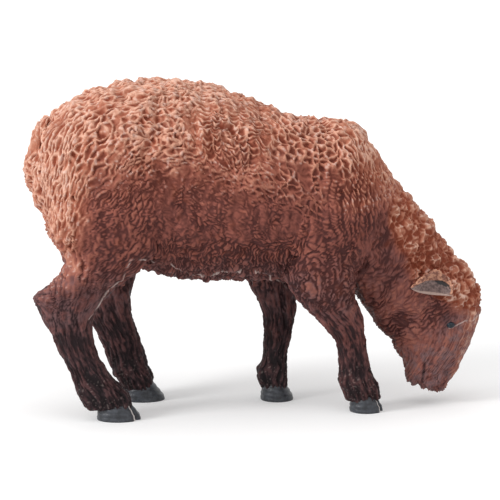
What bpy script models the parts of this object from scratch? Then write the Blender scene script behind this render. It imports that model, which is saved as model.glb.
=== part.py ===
"""Grazing lamb, a moulded toy farm figure in a fixed pose.

Nine solid mouldings: the trunk, the neck and head in one piece, four legs that
end in cloven hooves, two ears and a docked tail. Each smaller moulding has a
tapered square peg, which keys it in a socket of the piece that carries it.

The trunk lies along X with the head towards +X, Z is up and the soles stand
at zero height. The animal's right side faces -Y. All sizes are in metres.
"""

import math
from dataclasses import dataclass

import bmesh
import bpy
from mathutils import Matrix, Vector

# Trunk
TORSO_REAR = -0.0421
TORSO_LENGTH = 0.0688
TORSO_DEPTH = 0.0386
TORSO_WIDTH = 0.0300
BELLY_HEIGHT = 0.0261

# Tufts of the fleece, high in their middles and low where they meet
TUFT_SPACING = 0.0054
TUFT_HEIGHT = 0.0013

# Neck and head, measured from the middle of the neck's joint face
HEAD_REACH = 0.0232
HEAD_DROP = 0.0334
HEAD_WIDTH = 0.0146
EYE_LENGTH = 0.0017
EYE_HEIGHT = 0.0013
EYE_BULGE = 0.0003
BROW_LENGTH = 0.0068
BROW_HEIGHT = 0.0026
BROW_THICKNESS = 0.0020
BROW_BULGE = 0.0005
MOUTH_SLIT = 0.0005
MOUTH_LENGTH = 0.0070
MOUTH_DEPTH = 0.0016
NOSTRIL_LENGTH = 0.0018
NOSTRIL_WIDTH = 0.0009
NOSTRIL_DEPTH = 0.0006

# Legs, hind pair
HAUNCH_RISE = 0.0186
HAUNCH_WIDTH = 0.0098
HAUNCH_BULGE = 0.0006
HIND_REACH = 0.0200
HIND_TRACK = 0.0158
HIND_HOOF_LENGTH = 0.0086

# Legs, front pair
SHOULDER_RISE = 0.0176
SHOULDER_WIDTH = 0.0092
SHOULDER_INSET = 0.0008
FRONT_REACH = 0.0160
FRONT_TRACK = 0.0112
FRONT_HOOF_LENGTH = 0.0066

# Hooves and dewclaws, alike on all four legs
HOOF_WIDTH = 0.0064
HOOF_HEIGHT = 0.0040
CLEFT_WIDTH = 0.0007
DEWCLAW_LENGTH = 0.0021
DEWCLAW_THICKNESS = 0.0017
DEWCLAW_HEIGHT = 0.0062

# Ears
EAR_LENGTH = 0.0102
EAR_WIDTH = 0.0050
EAR_THICKNESS = 0.0013
EAR_STANDOFF = 0.0009
EAR_CUP = 0.0008
EAR_HOLLOW_LENGTH = 0.0050
EAR_HOLLOW_WIDTH = 0.0024
EAR_HOLLOW_DEPTH = 0.0005

# Tail
TAIL_LENGTH = 0.0146
TAIL_WIDTH = 0.0062
TAIL_THICKNESS = 0.0028
TAIL_PROUD = 0.0022

# Pegs and the fit of every joint
JOINT_CLEARANCE = 0.0003
NECK_PEG_WIDTH = 0.0062
NECK_PEG_LENGTH = 0.0038
LEG_PEG_WIDTH = 0.0036
LEG_PEG_LENGTH = 0.0026
TAIL_PEG_WIDTH = 0.0026
TAIL_PEG_LENGTH = 0.0026
EAR_PEG_WIDTH = 0.0016
EAR_PEG_LENGTH = 0.0022
PEG_ROOT = 0.0012
PEG_TAPER_SHARE = 0.85

# Sides of the cages that Subdivision Surface rounds, how square their sections
# are, where 1 is an oval, and how far round a small cage's corners are turned
TRUNK_SIDES = 16
LEG_SIDES = 10
SMALL_SIDES = 8
BEAD_SIDES = 10
BEAD_ROWS = 6
BODY_SQUARENESS = 0.92
HEAD_SQUARENESS = 0.96
OVAL_SQUARENESS = 1.0
SMALL_TURN_SHARE = 0.27

# How many times larger than what it trims a cutting block is
BLOCK_SHARE = 3.0

# Trunk sections from rump to neck, each the plane through a point on the back
# and a point under the belly: how far along and up the two points lie, as
# shares of the trunk's length and depth, and the width share there.
TORSO_SHARES = (
    (0.000, 0.68, 0.012, 0.36, 0.40),
    (0.030, 0.80, 0.036, 0.23, 0.68),
    (0.088, 0.895, 0.092, 0.15, 0.87),
    (0.165, 0.960, 0.165, 0.105, 0.97),
    (0.255, 1.00, 0.255, 0.080, 1.00),
    (0.370, 1.00, 0.355, 0.030, 0.99),
    (0.480, 0.975, 0.455, 0.005, 1.00),
    (0.590, 0.905, 0.550, 0.000, 1.00),
    (0.690, 0.830, 0.640, 0.000, 0.97),
    (0.785, 0.795, 0.700, 0.000, 0.92),
    (0.885, 0.775, 0.760, 0.000, 0.86),
    (0.955, 0.635, 0.808, 0.005, 0.77),
    (1.004, 0.505, 0.850, 0.010, 0.67),
)

# Neck and head sections from the joint face to the lips: nape or forehead
# point, throat or jaw point, both as shares of the head's reach and drop from
# the middle of the joint face, and the width share.
HEAD_SHARES = (
    (0.340, -0.190, -0.115, 0.375, 1.30),
    (0.465, -0.085, -0.010, 0.475, 1.22),
    (0.615, 0.045, 0.065, 0.555, 1.14),
    (0.755, 0.165, 0.140, 0.625, 1.07),
    (0.890, 0.275, 0.232, 0.695, 1.01),
    (0.985, 0.395, 0.296, 0.765, 0.94),
    (0.992, 0.515, 0.342, 0.830, 0.85),
    (0.950, 0.630, 0.362, 0.885, 0.75),
    (0.900, 0.730, 0.376, 0.925, 0.66),
    (0.838, 0.820, 0.408, 0.952, 0.57),
    (0.785, 0.895, 0.478, 0.976, 0.49),
    (0.715, 0.958, 0.570, 0.995, 0.34),
)

# How far the fleece's tufts rise on each cage section, along the back or nape
# and round the lower half: the trunk from its joint face to the rump, and the
# neck from its joint face to the poll. They fade where the legs are seated,
# and the joint face and the face have none.
TRUNK_TUFT_SHARES = (
    (0.0, 0.0), (0.6, 0.0), (1.0, 0.0), (1.0, 0.0), (1.0, 0.4), (1.0, 0.9), (1.0, 1.0),
    (1.0, 0.8), (1.0, 0.2), (1.0, 0.0), (1.0, 0.0), (1.0, 0.0), (1.0, 0.2),
)
NECK_TUFT_SHARES = ((0.0, 0.0), (0.8, 0.0), (1.0, 0.2), (1.0, 0.4), (1.0, 0.4), (0.6, 0.2))
TUFT_MIDDLE_SHARE = 0.55

# Leg sections from the top of the haunch or shoulder down into the hoof: the
# height as a share of the leg's, the rear and front edges as shares of the
# leg's reach from the hoof's middle, how far the section has moved out from
# the hoof's line to the haunch's, and the width share.
HIND_RIGHT_SHARES = (
    (1.000, -0.39, 0.08, 1.0, 0.45),
    (0.945, -0.56, 0.26, 1.0, 0.85),
    (0.845, -0.62, 0.37, 1.0, 1.00),
    (0.745, -0.51, 0.35, 1.0, 1.00),
    (0.670, -0.53, 0.20, 0.9, 0.94),
    (0.610, -0.64, 0.05, 0.7, 0.86),
    (0.550, -0.80, -0.11, 0.4, 0.79),
    (0.465, -0.72, -0.22, 0.1, 0.74),
    (0.380, -0.63, -0.24, 0.0, 0.72),
    (0.300, -0.55, -0.20, 0.0, 0.71),
    (0.225, -0.47, -0.11, 0.0, 0.70),
    (0.155, -0.41, 0.01, 0.0, 0.70),
    (0.105, -0.37, 0.12, 0.0, 0.70),
    (0.060, -0.32, 0.15, 0.0, 0.60),
)
HIND_LEFT_SHARES = (
    (1.000, -0.59, -0.14, 1.0, 0.45),
    (0.945, -0.76, 0.03, 1.0, 0.85),
    (0.845, -0.85, 0.13, 1.0, 1.00),
    (0.745, -0.84, 0.12, 1.0, 1.00),
    (0.665, -0.79, 0.06, 0.9, 0.94),
    (0.600, -0.74, -0.01, 0.7, 0.86),
    (0.535, -0.69, -0.07, 0.4, 0.79),
    (0.455, -0.61, -0.11, 0.1, 0.73),
    (0.375, -0.52, -0.09, 0.0, 0.70),
    (0.300, -0.43, -0.04, 0.0, 0.68),
    (0.225, -0.36, 0.01, 0.0, 0.66),
    (0.155, -0.31, 0.06, 0.0, 0.66),
    (0.105, -0.25, 0.11, 0.0, 0.67),
    (0.060, -0.20, 0.10, 0.0, 0.58),
)
FRONT_RIGHT_SHARES = (
    (1.000, -0.65, -0.14, 1.0, 0.45),
    (0.935, -0.82, 0.00, 1.0, 0.85),
    (0.820, -0.90, 0.02, 1.0, 1.00),
    (0.705, -0.96, -0.08, 1.0, 1.00),
    (0.625, -0.98, -0.16, 0.85, 0.96),
    (0.555, -0.92, -0.17, 0.70, 0.91),
    (0.490, -0.77, -0.11, 0.50, 0.84),
    (0.420, -0.58, -0.04, 0.30, 0.76),
    (0.350, -0.41, -0.02, 0.15, 0.70),
    (0.285, -0.34, 0.00, 0.05, 0.68),
    (0.215, -0.33, 0.05, 0.0, 0.66),
    (0.150, -0.32, 0.10, 0.0, 0.68),
    (0.105, -0.29, 0.17, 0.0, 0.69),
    (0.060, -0.24, 0.18, 0.0, 0.60),
)
FRONT_LEFT_SHARES = (
    (1.000, -0.40, 0.19, 1.0, 0.45),
    (0.935, -0.56, 0.32, 1.0, 0.85),
    (0.820, -0.62, 0.38, 1.0, 1.00),
    (0.705, -0.60, 0.40, 1.0, 1.00),
    (0.625, -0.50, 0.38, 0.85, 0.94),
    (0.555, -0.36, 0.33, 0.70, 0.87),
    (0.490, -0.27, 0.27, 0.50, 0.80),
    (0.420, -0.17, 0.25, 0.30, 0.73),
    (0.350, -0.14, 0.22, 0.15, 0.68),
    (0.285, -0.14, 0.18, 0.05, 0.65),
    (0.215, -0.15, 0.14, 0.0, 0.63),
    (0.150, -0.20, 0.14, 0.0, 0.65),
    (0.105, -0.23, 0.14, 0.0, 0.66),
    (0.060, -0.18, 0.14, 0.0, 0.58),
)

# Where each hoof's middle stands along the trunk
HIND_RIGHT_PLACE_SHARE = 0.212
HIND_LEFT_PLACE_SHARE = 0.296
FRONT_RIGHT_PLACE_SHARE = 0.921
FRONT_LEFT_PLACE_SHARE = 0.682

# Hoof sections from the coronet down to the sole: height, heel and toe, width
HOOF_SHARES = (
    (1.00, -0.34, 0.22, 0.74),
    (0.62, -0.42, 0.36, 0.94),
    (0.22, -0.46, 0.50, 1.00),
    (-0.20, -0.46, 0.56, 1.00),
)
CLEFT_LENGTH_SHARE = 0.36
CLEFT_TILT = math.radians(24.0)
DEWCLAW_TURN = math.radians(36.0)
DEWCLAW_DROOP = math.radians(17.0)

# Ear sections from root to tip: distance along, width, thickness, how much of
# the cup's depth the section is moved by, and how far it leans to the rear rim
EAR_SHARES = (
    (0.00, 0.44, 1.15, 0.0, 0.00),
    (0.14, 0.72, 1.00, 0.5, 0.03),
    (0.34, 1.00, 0.82, 1.0, 0.05),
    (0.56, 0.98, 0.72, 0.9, 0.03),
    (0.78, 0.72, 0.64, 0.5, -0.02),
    (0.94, 0.36, 0.56, 0.1, -0.06),
    (1.00, 0.14, 0.46, 0.0, -0.08),
)
EAR_ROOT_REACH_SHARE = 0.69
EAR_ROOT_DROP_SHARE = 0.365
EAR_HEAD_WIDTH_SHARE = 1.04
EAR_PEG_ROOT_SHARE = 0.2

# Which way the left ear's blade runs from its root, and which way its hollow
# faces: forward, outward and up
EAR_RUN = (-0.90, 0.27, 0.34)
EAR_FACING = (0.20, 1.00, -0.10)

# Tail sections from root to tip: distance down, how far aft, width, thickness
TAIL_SHARES = (
    (0.00, -0.95, 0.62, 0.60),
    (0.16, -0.45, 0.88, 0.85),
    (0.38, -0.10, 1.00, 1.00),
    (0.60, 0.10, 0.98, 1.00),
    (0.82, 0.04, 0.84, 0.90),
    (1.00, -0.26, 0.46, 0.50),
)
TAIL_ROOT_RISE_SHARE = 0.815

# Places on the face: a section of the head, counted from the first row of its
# shares, and how far across it, from -1 at the throat to 1 at the forehead
EYE_SECTION = 5.2
EYE_ACROSS_SHARE = 0.15
BROW_SECTION = 4.7
BROW_ACROSS_SHARE = 0.25
NOSTRIL_SECTION = 9.2
NOSTRIL_ACROSS_SHARE = 0.35
MOUTH_SECTION = 7.7
MOUTH_ACROSS_SHARE = -0.57
FACE_TILT = math.radians(-12.0)
MOUTH_TILT = math.radians(4.0)

# Paint: red, green and blue of each finish
FLEECE_PAINT = (0.36, 0.14, 0.075)
FACE_PAINT = (0.24, 0.09, 0.055)
LEG_PAINT = (0.13, 0.055, 0.04)
EAR_PAINT = (0.30, 0.15, 0.10)
PAINT_ROUGHNESS = 0.55


@dataclass(frozen=True)
class LegPlan:
    """What one leg needs to be built: its side, its place and its sections."""

    name: str
    side: int
    foot_x: float
    foot_y: float
    top_y: float
    height: float
    reach: float
    width: float
    hoof_length: float
    sections: tuple


def clear_scene():
    """Remove whatever the file holds."""
    for item in list(bpy.data.objects):
        bpy.data.objects.remove(item, do_unlink=True)


def new_collection(name):
    """Make a collection in the scene."""
    made = bpy.data.collections.new(name)
    bpy.context.scene.collection.children.link(made)
    return made


def paint(name, colour):
    """Make a matt painted finish."""
    material = bpy.data.materials.new(name)
    material.use_nodes = True
    shader = material.node_tree.nodes["Principled BSDF"]
    shader.inputs["Base Color"].default_value = (*colour, 1.0)
    shader.inputs["Roughness"].default_value = PAINT_ROUGHNESS
    shader.inputs["Metallic"].default_value = 0.0
    return material


def add_object(name, mesh_builder, collection, material=None):
    """Turn a bmesh into an object, faces outward and shaded smooth."""
    bmesh.ops.recalc_face_normals(mesh_builder, faces=mesh_builder.faces)
    mesh = bpy.data.meshes.new(name)
    mesh_builder.to_mesh(mesh)
    mesh_builder.free()
    mesh.shade_smooth()
    made = bpy.data.objects.new(name, mesh)
    collection.objects.link(made)
    if material is not None:
        mesh.materials.append(material)
    return made


def hide_cutter(cutter):
    """Show a cutter as wire and keep it out of renders."""
    cutter.hide_render = True
    cutter.display_type = "WIRE"


def boolean(target, tool, operation):
    """Cut the target with the tool, or join the tool to it."""
    modifier = target.modifiers.new(f"{operation.lower()} {tool.name}", "BOOLEAN")
    modifier.operation = operation
    modifier.solver = "EXACT"
    modifier.object = tool
    hide_cutter(tool)


def rounded(power_base, exponent):
    """A cosine or sine bent towards a rounder or squarer section."""
    return math.copysign(abs(power_base) ** exponent, power_base)


def ring(centre, half_long, half_wide, sides, exponent=BODY_SQUARENESS, turn_share=0.0):
    """Points of a cage section that goes round a superellipse.

    A turn share starts the points part of a step further round, so that a small
    piece has no corner in the same plane as the corners of what it joins.
    """
    outward = 1.0 / math.cos(math.pi / sides)
    points = []
    for step in range(sides):
        angle = 2.0 * math.pi * (step + turn_share) / sides
        along = rounded(math.cos(angle), exponent) * outward
        across = rounded(math.sin(angle), exponent) * outward
        points.append(centre + half_long * along + half_wide * across)
    return points


def raise_tufts(coat, sides, tuft_shares):
    """Move a rounded cage in and out in irregular tufts, by its sections' shares."""
    pattern = bpy.data.textures.get("fleece tufts")
    if pattern is None:
        pattern = bpy.data.textures.new("fleece tufts", type="VORONOI")
    pattern.noise_scale = TUFT_SPACING
    group = coat.vertex_groups.new(name="fleece")
    for row, (back_share, low_share) in enumerate(tuft_shares):
        for step in range(sides):
            above = max(math.cos(2.0 * math.pi * step / sides), 0.0)
            share = low_share + (back_share - low_share) * above
            group.add((row * sides + step,), share, "REPLACE")
    tufts = coat.modifiers.new("raise the tufts", "DISPLACE")
    tufts.texture = pattern
    tufts.texture_coords = "LOCAL"
    tufts.vertex_group = group.name
    tufts.strength = -TUFT_HEIGHT
    tufts.mid_level = TUFT_MIDDLE_SHARE


def loft(name, rings, collection, material=None, flat_start=False, tuft_shares=()):
    """Skin a row of rings, close both ends, round the cage once and add its tufts."""
    cage = bmesh.new()
    rows = [[cage.verts.new(point) for point in points] for points in rings]
    sides = len(rows[0])
    for lower, upper in zip(rows, rows[1:]):
        for step in range(sides):
            after = (step + 1) % sides
            cage.faces.new((lower[step], lower[after], upper[after], upper[step]))
    start_cap = cage.faces.new(rows[0])
    cage.faces.new(rows[-1])
    if flat_start:
        crease = cage.edges.layers.float.new("crease_edge")
        for edge in start_cap.edges:
            edge[crease] = 1.0
    made = add_object(name, cage, collection, material)
    subdivision = made.modifiers.new("round the cage", "SUBSURF")
    subdivision.levels = 1
    subdivision.render_levels = 1
    if tuft_shares:
        raise_tufts(made, sides, tuft_shares)
    return made


def square_peg(name, start, direction, width, length, collection, spare=0.0, root=PEG_ROOT):
    """A tapered square peg, from inside its carrier out to its tip."""
    body = bmesh.new()
    reach = root + length + spare
    half_diagonal = (width / 2.0 + spare) * math.sqrt(2.0)
    turn = Vector(direction).to_track_quat("Z", "Y").to_matrix().to_4x4()
    middle = Vector(start) + Vector(direction) * (reach / 2.0 - root)
    quarter = Matrix.Rotation(math.pi / 4.0, 4, "Z")
    bmesh.ops.create_cone(
        body,
        cap_ends=True,
        segments=4,
        radius1=half_diagonal,
        radius2=half_diagonal * PEG_TAPER_SHARE,
        depth=reach,
        matrix=Matrix.Translation(middle) @ turn @ quarter,
    )
    return add_object(name, body, collection)


def block(name, centre, size, turn, collection):
    """A plain block, used as a cutter."""
    body = bmesh.new()
    place = Matrix.Translation(centre) @ turn @ Matrix.Diagonal((*size, 1.0))
    bmesh.ops.create_cube(body, size=1.0, matrix=place)
    return add_object(name, body, collection)


def bead(name, centre, size, turn, collection):
    """An egg-shaped bead, used for eyes, brows, nostrils and dewclaws."""
    body = bmesh.new()
    place = Matrix.Translation(centre) @ turn @ Matrix.Diagonal((*size, 1.0))
    bmesh.ops.create_uvsphere(
        body, u_segments=BEAD_SIDES, v_segments=BEAD_ROWS, radius=0.5, matrix=place
    )
    return add_object(name, body, collection)


def torso_point(along_share, up_share):
    """A point of the trunk's side view."""
    x = TORSO_REAR + TORSO_LENGTH * along_share
    z = BELLY_HEIGHT + TORSO_DEPTH * up_share
    return Vector((x, 0.0, z))


def neck_joint():
    """Middle, upward half and facing of the plane where the neck joins."""
    top_along, top_up, low_along, low_up, width_share = TORSO_SHARES[-1]
    top = torso_point(top_along, top_up)
    low = torso_point(low_along, low_up)
    half_up = (top - low) / 2.0
    facing = half_up.cross(Vector((0.0, 1.0, 0.0))).normalized()
    if facing.x < 0.0:
        facing.negate()
    return (top + low) / 2.0, half_up, facing, width_share * TORSO_WIDTH / 2.0


def head_point(reach_share, drop_share):
    """A point of the head's side view, from the middle of the joint face."""
    middle = neck_joint()[0]
    return middle + Vector((HEAD_REACH * reach_share, 0.0, -HEAD_DROP * drop_share))


def build_torso(collection, material):
    """The trunk: a loft whose front end is the flat joint face."""
    rings = []
    for top_along, top_up, low_along, low_up, width_share in TORSO_SHARES:
        top = torso_point(top_along, top_up)
        low = torso_point(low_along, low_up)
        half_wide = Vector((0.0, TORSO_WIDTH / 2.0 * width_share, 0.0))
        rings.append(ring((top + low) / 2.0, (top - low) / 2.0, half_wide, TRUNK_SIDES))
    rings.reverse()
    return loft("torso", rings, collection, material, True, TRUNK_TUFT_SHARES)


def build_head(collection, cutters, material):
    """The neck and head: a loft from the joint face to the lips, with a face."""
    middle, half_up, facing, half_width = neck_joint()
    half_wide = Vector((0.0, half_width, 0.0))
    rings = [ring(middle + facing * JOINT_CLEARANCE, half_up, half_wide, TRUNK_SIDES)]
    for top_reach, top_drop, low_reach, low_drop, width_share in HEAD_SHARES:
        top = head_point(top_reach, top_drop)
        low = head_point(low_reach, low_drop)
        half_wide = Vector((0.0, HEAD_WIDTH / 2.0 * width_share, 0.0))
        half_up = (top - low) / 2.0
        rings.append(ring((top + low) / 2.0, half_up, half_wide, TRUNK_SIDES, HEAD_SQUARENESS))
    head = loft("neck_and_head", rings, collection, material, True, NECK_TUFT_SHARES)
    peg = square_peg("neck peg", middle, -facing, NECK_PEG_WIDTH, NECK_PEG_LENGTH, cutters)
    boolean(head, peg, "UNION")
    shape_face(head, cutters)
    return head


def face_place(section, across_share, side):
    """A point of the head's skin, at a section and a share of the way across."""
    lower = math.floor(section)
    part = section - lower
    row = [a + (b - a) * part for a, b in zip(HEAD_SHARES[lower], HEAD_SHARES[lower + 1])]
    top = head_point(row[0], row[1])
    low = head_point(row[2], row[3])
    place = low + (top - low) * (across_share + 1.0) / 2.0
    fullness = (1.0 - abs(across_share) ** (2.0 / HEAD_SQUARENESS)) ** (HEAD_SQUARENESS / 2.0)
    place.y = side * HEAD_WIDTH / 2.0 * row[4] * fullness
    return place


def shape_face(head, cutters):
    """Brows, eyes, nostrils and the slit of the mouth."""
    tilt = Matrix.Rotation(FACE_TILT, 4, "Y")
    mouth_turn = Matrix.Rotation(MOUTH_TILT, 4, "Y")
    for side, word in ((-1, "right"), (1, "left")):
        brow_place = face_place(BROW_SECTION, BROW_ACROSS_SHARE, side)
        brow_size = (BROW_LENGTH, BROW_THICKNESS, BROW_HEIGHT)
        brow_place.y -= side * (BROW_THICKNESS / 2.0 - BROW_BULGE)
        boolean(head, bead(f"{word} brow", brow_place, brow_size, tilt, cutters), "UNION")
        eye_place = face_place(EYE_SECTION, EYE_ACROSS_SHARE, side)
        eye_size = (EYE_LENGTH, EYE_HEIGHT, EYE_HEIGHT)
        eye_place.y -= side * (EYE_HEIGHT / 2.0 - EYE_BULGE)
        boolean(head, bead(f"{word} eye", eye_place, eye_size, tilt, cutters), "UNION")
        nostril_place = face_place(NOSTRIL_SECTION, NOSTRIL_ACROSS_SHARE, side)
        nostril_size = (NOSTRIL_LENGTH, NOSTRIL_DEPTH * 2.0, NOSTRIL_WIDTH)
        nostril = bead(f"{word} nostril", nostril_place, nostril_size, tilt, cutters)
        boolean(head, nostril, "DIFFERENCE")
        corner = face_place(MOUTH_SECTION, MOUTH_ACROSS_SHARE, side)
        corner.y += side * (HEAD_WIDTH / 2.0 - MOUTH_DEPTH)
        mouth_size = (MOUTH_SLIT, HEAD_WIDTH, MOUTH_LENGTH)
        slit = block(f"{word} mouth slit", corner, mouth_size, mouth_turn, cutters)
        boolean(head, slit, "DIFFERENCE")


def leg_rings(plan, spare):
    """The cage sections of a leg, all level, each grown by the spare size."""
    rings = []
    last = len(plan.sections) - 1
    for place, (up, rear, front, out, width_share) in enumerate(plan.sections):
        rear_x = plan.foot_x + plan.reach * rear
        front_x = plan.foot_x + plan.reach * front
        height = plan.height * up
        if place == 0:
            height += spare
        if place == last:
            height -= spare
        y = plan.foot_y + (plan.top_y - plan.foot_y) * out
        centre = Vector(((rear_x + front_x) / 2.0, y, height))
        half_long = Vector(((front_x - rear_x) / 2.0 + spare, 0.0, 0.0))
        half_wide = Vector((0.0, plan.width / 2.0 * width_share + spare, 0.0))
        rings.append(ring(centre, half_long, half_wide, LEG_SIDES))
    return rings


def leg_peg(plan, spare, cutters):
    """The peg on the inner face of a haunch or shoulder."""
    up, rear, front, _, _ = plan.sections[2]
    x = plan.foot_x + plan.reach * (rear + front) / 2.0
    inner = Vector((x, plan.top_y - plan.side * plan.width / 2.0, plan.height * up))
    word = "socket" if spare else "peg"
    direction = (0.0, -float(plan.side), 0.0)
    name = f"{plan.name} {word}"
    return square_peg(name, inner, direction, LEG_PEG_WIDTH, LEG_PEG_LENGTH, cutters, spare)


def hoof(plan, cutters):
    """A hoof's horn from the coronet to a flat sole, cleft at the toe."""
    rings = []
    for up, heel, toe, width_share in HOOF_SHARES:
        heel_x = plan.foot_x + plan.hoof_length * heel
        toe_x = plan.foot_x + plan.hoof_length * toe
        centre = Vector(((heel_x + toe_x) / 2.0, plan.foot_y, HOOF_HEIGHT * up))
        half_long = Vector(((toe_x - heel_x) / 2.0, 0.0, 0.0))
        half_wide = Vector((0.0, HOOF_WIDTH / 2.0 * width_share, 0.0))
        rings.append(
            ring(centre, half_long, half_wide, LEG_SIDES, OVAL_SQUARENESS, SMALL_TURN_SHARE)
        )
    horn = loft(f"{plan.name} hoof", rings, cutters)
    ground_size = (plan.reach * BLOCK_SHARE, plan.width * BLOCK_SHARE, HOOF_HEIGHT)
    ground_place = Vector((plan.foot_x, plan.foot_y, -HOOF_HEIGHT / 2.0))
    ground = block(f"{plan.name} ground", ground_place, ground_size, Matrix.Identity(4), cutters)
    boolean(horn, ground, "DIFFERENCE")
    toe_x = plan.foot_x + plan.hoof_length * HOOF_SHARES[-1][2]
    cleft_length = plan.hoof_length * CLEFT_LENGTH_SHARE
    cleft_size = (cleft_length * 2.0, CLEFT_WIDTH, HOOF_HEIGHT * BLOCK_SHARE)
    cleft_turn = Matrix.Rotation(CLEFT_TILT, 4, "Y")
    cleft_place = Vector((toe_x + cleft_length / 4.0, plan.foot_y, 0.0))
    cleft = block(f"{plan.name} cleft", cleft_place, cleft_size, cleft_turn, cutters)
    boolean(horn, cleft, "DIFFERENCE")
    return horn


def build_leg(plan, collection, cutters, material):
    """A leg: haunch or shoulder, shank, dewclaws, cloven hoof and peg."""
    leg = loft(plan.name, leg_rings(plan, 0.0), collection, material)
    boolean(leg, hoof(plan, cutters), "UNION")
    _, rear, front, _, width_share = plan.sections[-3]
    half_long = plan.reach * (front - rear) / 2.0
    pastern_x = plan.foot_x + plan.reach * (front + rear) / 2.0
    claw_x = pastern_x - half_long * math.cos(DEWCLAW_TURN)
    spread = plan.width / 2.0 * width_share * math.sin(DEWCLAW_TURN)
    size = (DEWCLAW_THICKNESS, DEWCLAW_THICKNESS, DEWCLAW_LENGTH)
    for side in (-1, 1):
        place = Vector((claw_x, plan.foot_y + side * spread, DEWCLAW_HEIGHT))
        word = "inner" if side == -plan.side else "outer"
        aslant = Matrix.Rotation(side * DEWCLAW_TURN, 4, "Z")
        droop = aslant @ Matrix.Rotation(DEWCLAW_DROOP, 4, "Y")
        dewclaw = bead(f"{plan.name} {word} dewclaw", place, size, droop, cutters)
        boolean(leg, dewclaw, "UNION")
    boolean(leg, leg_peg(plan, 0.0, cutters), "UNION")
    return leg


def seat_leg(plan, carriers, cutters):
    """Cut the seat of a leg, and its peg's socket, in what it meets."""
    seat = loft(f"{plan.name} seat", leg_rings(plan, JOINT_CLEARANCE), cutters)
    for carrier in carriers:
        boolean(carrier, seat, "DIFFERENCE")
    boolean(carriers[0], leg_peg(plan, JOINT_CLEARANCE, cutters), "DIFFERENCE")


def ear_frame(side):
    """Root, and the directions along, across and out of an ear's blade."""
    root = head_point(EAR_ROOT_REACH_SHARE, EAR_ROOT_DROP_SHARE)
    root.y = side * (HEAD_WIDTH / 2.0 * EAR_HEAD_WIDTH_SHARE + EAR_STANDOFF)
    along = Vector((EAR_RUN[0], side * EAR_RUN[1], EAR_RUN[2])).normalized()
    out = Vector((EAR_FACING[0], side * EAR_FACING[1], EAR_FACING[2]))
    out = (out - along * out.dot(along)).normalized()
    across = out.cross(along).normalized()
    if across.z < 0.0:
        across.negate()
    return root, along, across, out


def ear_centre(side, row):
    """The middle of an ear's blade at one of its sections."""
    root, along, across, out = ear_frame(side)
    far, _, _, cup_share, lean_share = row
    centre = root + along * (EAR_LENGTH * far)
    return centre - out * (EAR_CUP * cup_share) + across * (EAR_WIDTH * lean_share)


def build_ear(name, side, collection, cutters, material):
    """A leaf-shaped ear, hollowed on its outer face, with a peg at its root."""
    _, along, across, out = ear_frame(side)
    rings = []
    for row in EAR_SHARES:
        half_wide = across * (EAR_WIDTH / 2.0 * row[1])
        half_thick = out * (EAR_THICKNESS / 2.0 * row[2])
        centre = ear_centre(side, row)
        rings.append(
            ring(centre, half_wide, half_thick, SMALL_SIDES, OVAL_SQUARENESS, SMALL_TURN_SHARE)
        )
    ear = loft(name, rings, collection, material)
    boolean(ear, ear_peg(name, side, 0.0, cutters), "UNION")
    turn = Matrix((along, across, out)).transposed().to_4x4()
    hollow_place = (ear_centre(side, EAR_SHARES[2]) + ear_centre(side, EAR_SHARES[3])) / 2.0
    hollow_place += out * (EAR_THICKNESS / 2.0)
    hollow_size = (EAR_HOLLOW_LENGTH, EAR_HOLLOW_WIDTH, EAR_HOLLOW_DEPTH * 2.0)
    hollow = bead(f"{name} hollow", hollow_place, hollow_size, turn, cutters)
    boolean(ear, hollow, "DIFFERENCE")
    return ear


def ear_peg(name, side, spare, cutters):
    """The peg that turns in from an ear's root into the head."""
    start = ear_centre(side, EAR_SHARES[1])
    word = "socket" if spare else "peg"
    direction = Vector((0.0, -float(side), 0.0))
    length = EAR_PEG_LENGTH + EAR_STANDOFF
    root_depth = EAR_THICKNESS * EAR_PEG_ROOT_SHARE
    full_name = f"{name} {word}"
    return square_peg(full_name, start, direction, EAR_PEG_WIDTH, length, cutters, spare, root_depth)


def tail_rings(spare):
    """The cage sections of the tail, from its root down to its tip."""
    rings = []
    root_z = BELLY_HEIGHT + TORSO_DEPTH * TAIL_ROOT_RISE_SHARE
    last = len(TAIL_SHARES) - 1
    for place, (down, aft, width_share, thickness_share) in enumerate(TAIL_SHARES):
        height = root_z - TAIL_LENGTH * down
        if place == 0:
            height += spare
        if place == last:
            height -= spare
        x = TORSO_REAR - TAIL_PROUD + TAIL_THICKNESS / 2.0 - TAIL_THICKNESS * aft
        centre = Vector((x, 0.0, height))
        half_long = Vector((TAIL_THICKNESS / 2.0 * thickness_share + spare, 0.0, 0.0))
        half_wide = Vector((0.0, TAIL_WIDTH / 2.0 * width_share + spare, 0.0))
        rings.append(
            ring(centre, half_long, half_wide, SMALL_SIDES, OVAL_SQUARENESS, SMALL_TURN_SHARE)
        )
    return rings


def tail_peg(spare, cutters):
    """The peg on the tail's inner face."""
    height = BELLY_HEIGHT + TORSO_DEPTH * TAIL_ROOT_RISE_SHARE - TAIL_LENGTH * TAIL_SHARES[2][0]
    start = Vector((TORSO_REAR - TAIL_PROUD + TAIL_THICKNESS, 0.0, height))
    word = "socket" if spare else "peg"
    direction = (1.0, 0.0, 0.0)
    return square_peg(f"tail {word}", start, direction, TAIL_PEG_WIDTH, TAIL_PEG_LENGTH, cutters, spare)


def build_tail(collection, cutters, material):
    """The docked tail that lies on the rump."""
    tail = loft("tail", tail_rings(0.0), collection, material)
    boolean(tail, tail_peg(0.0, cutters), "UNION")
    return tail


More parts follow.
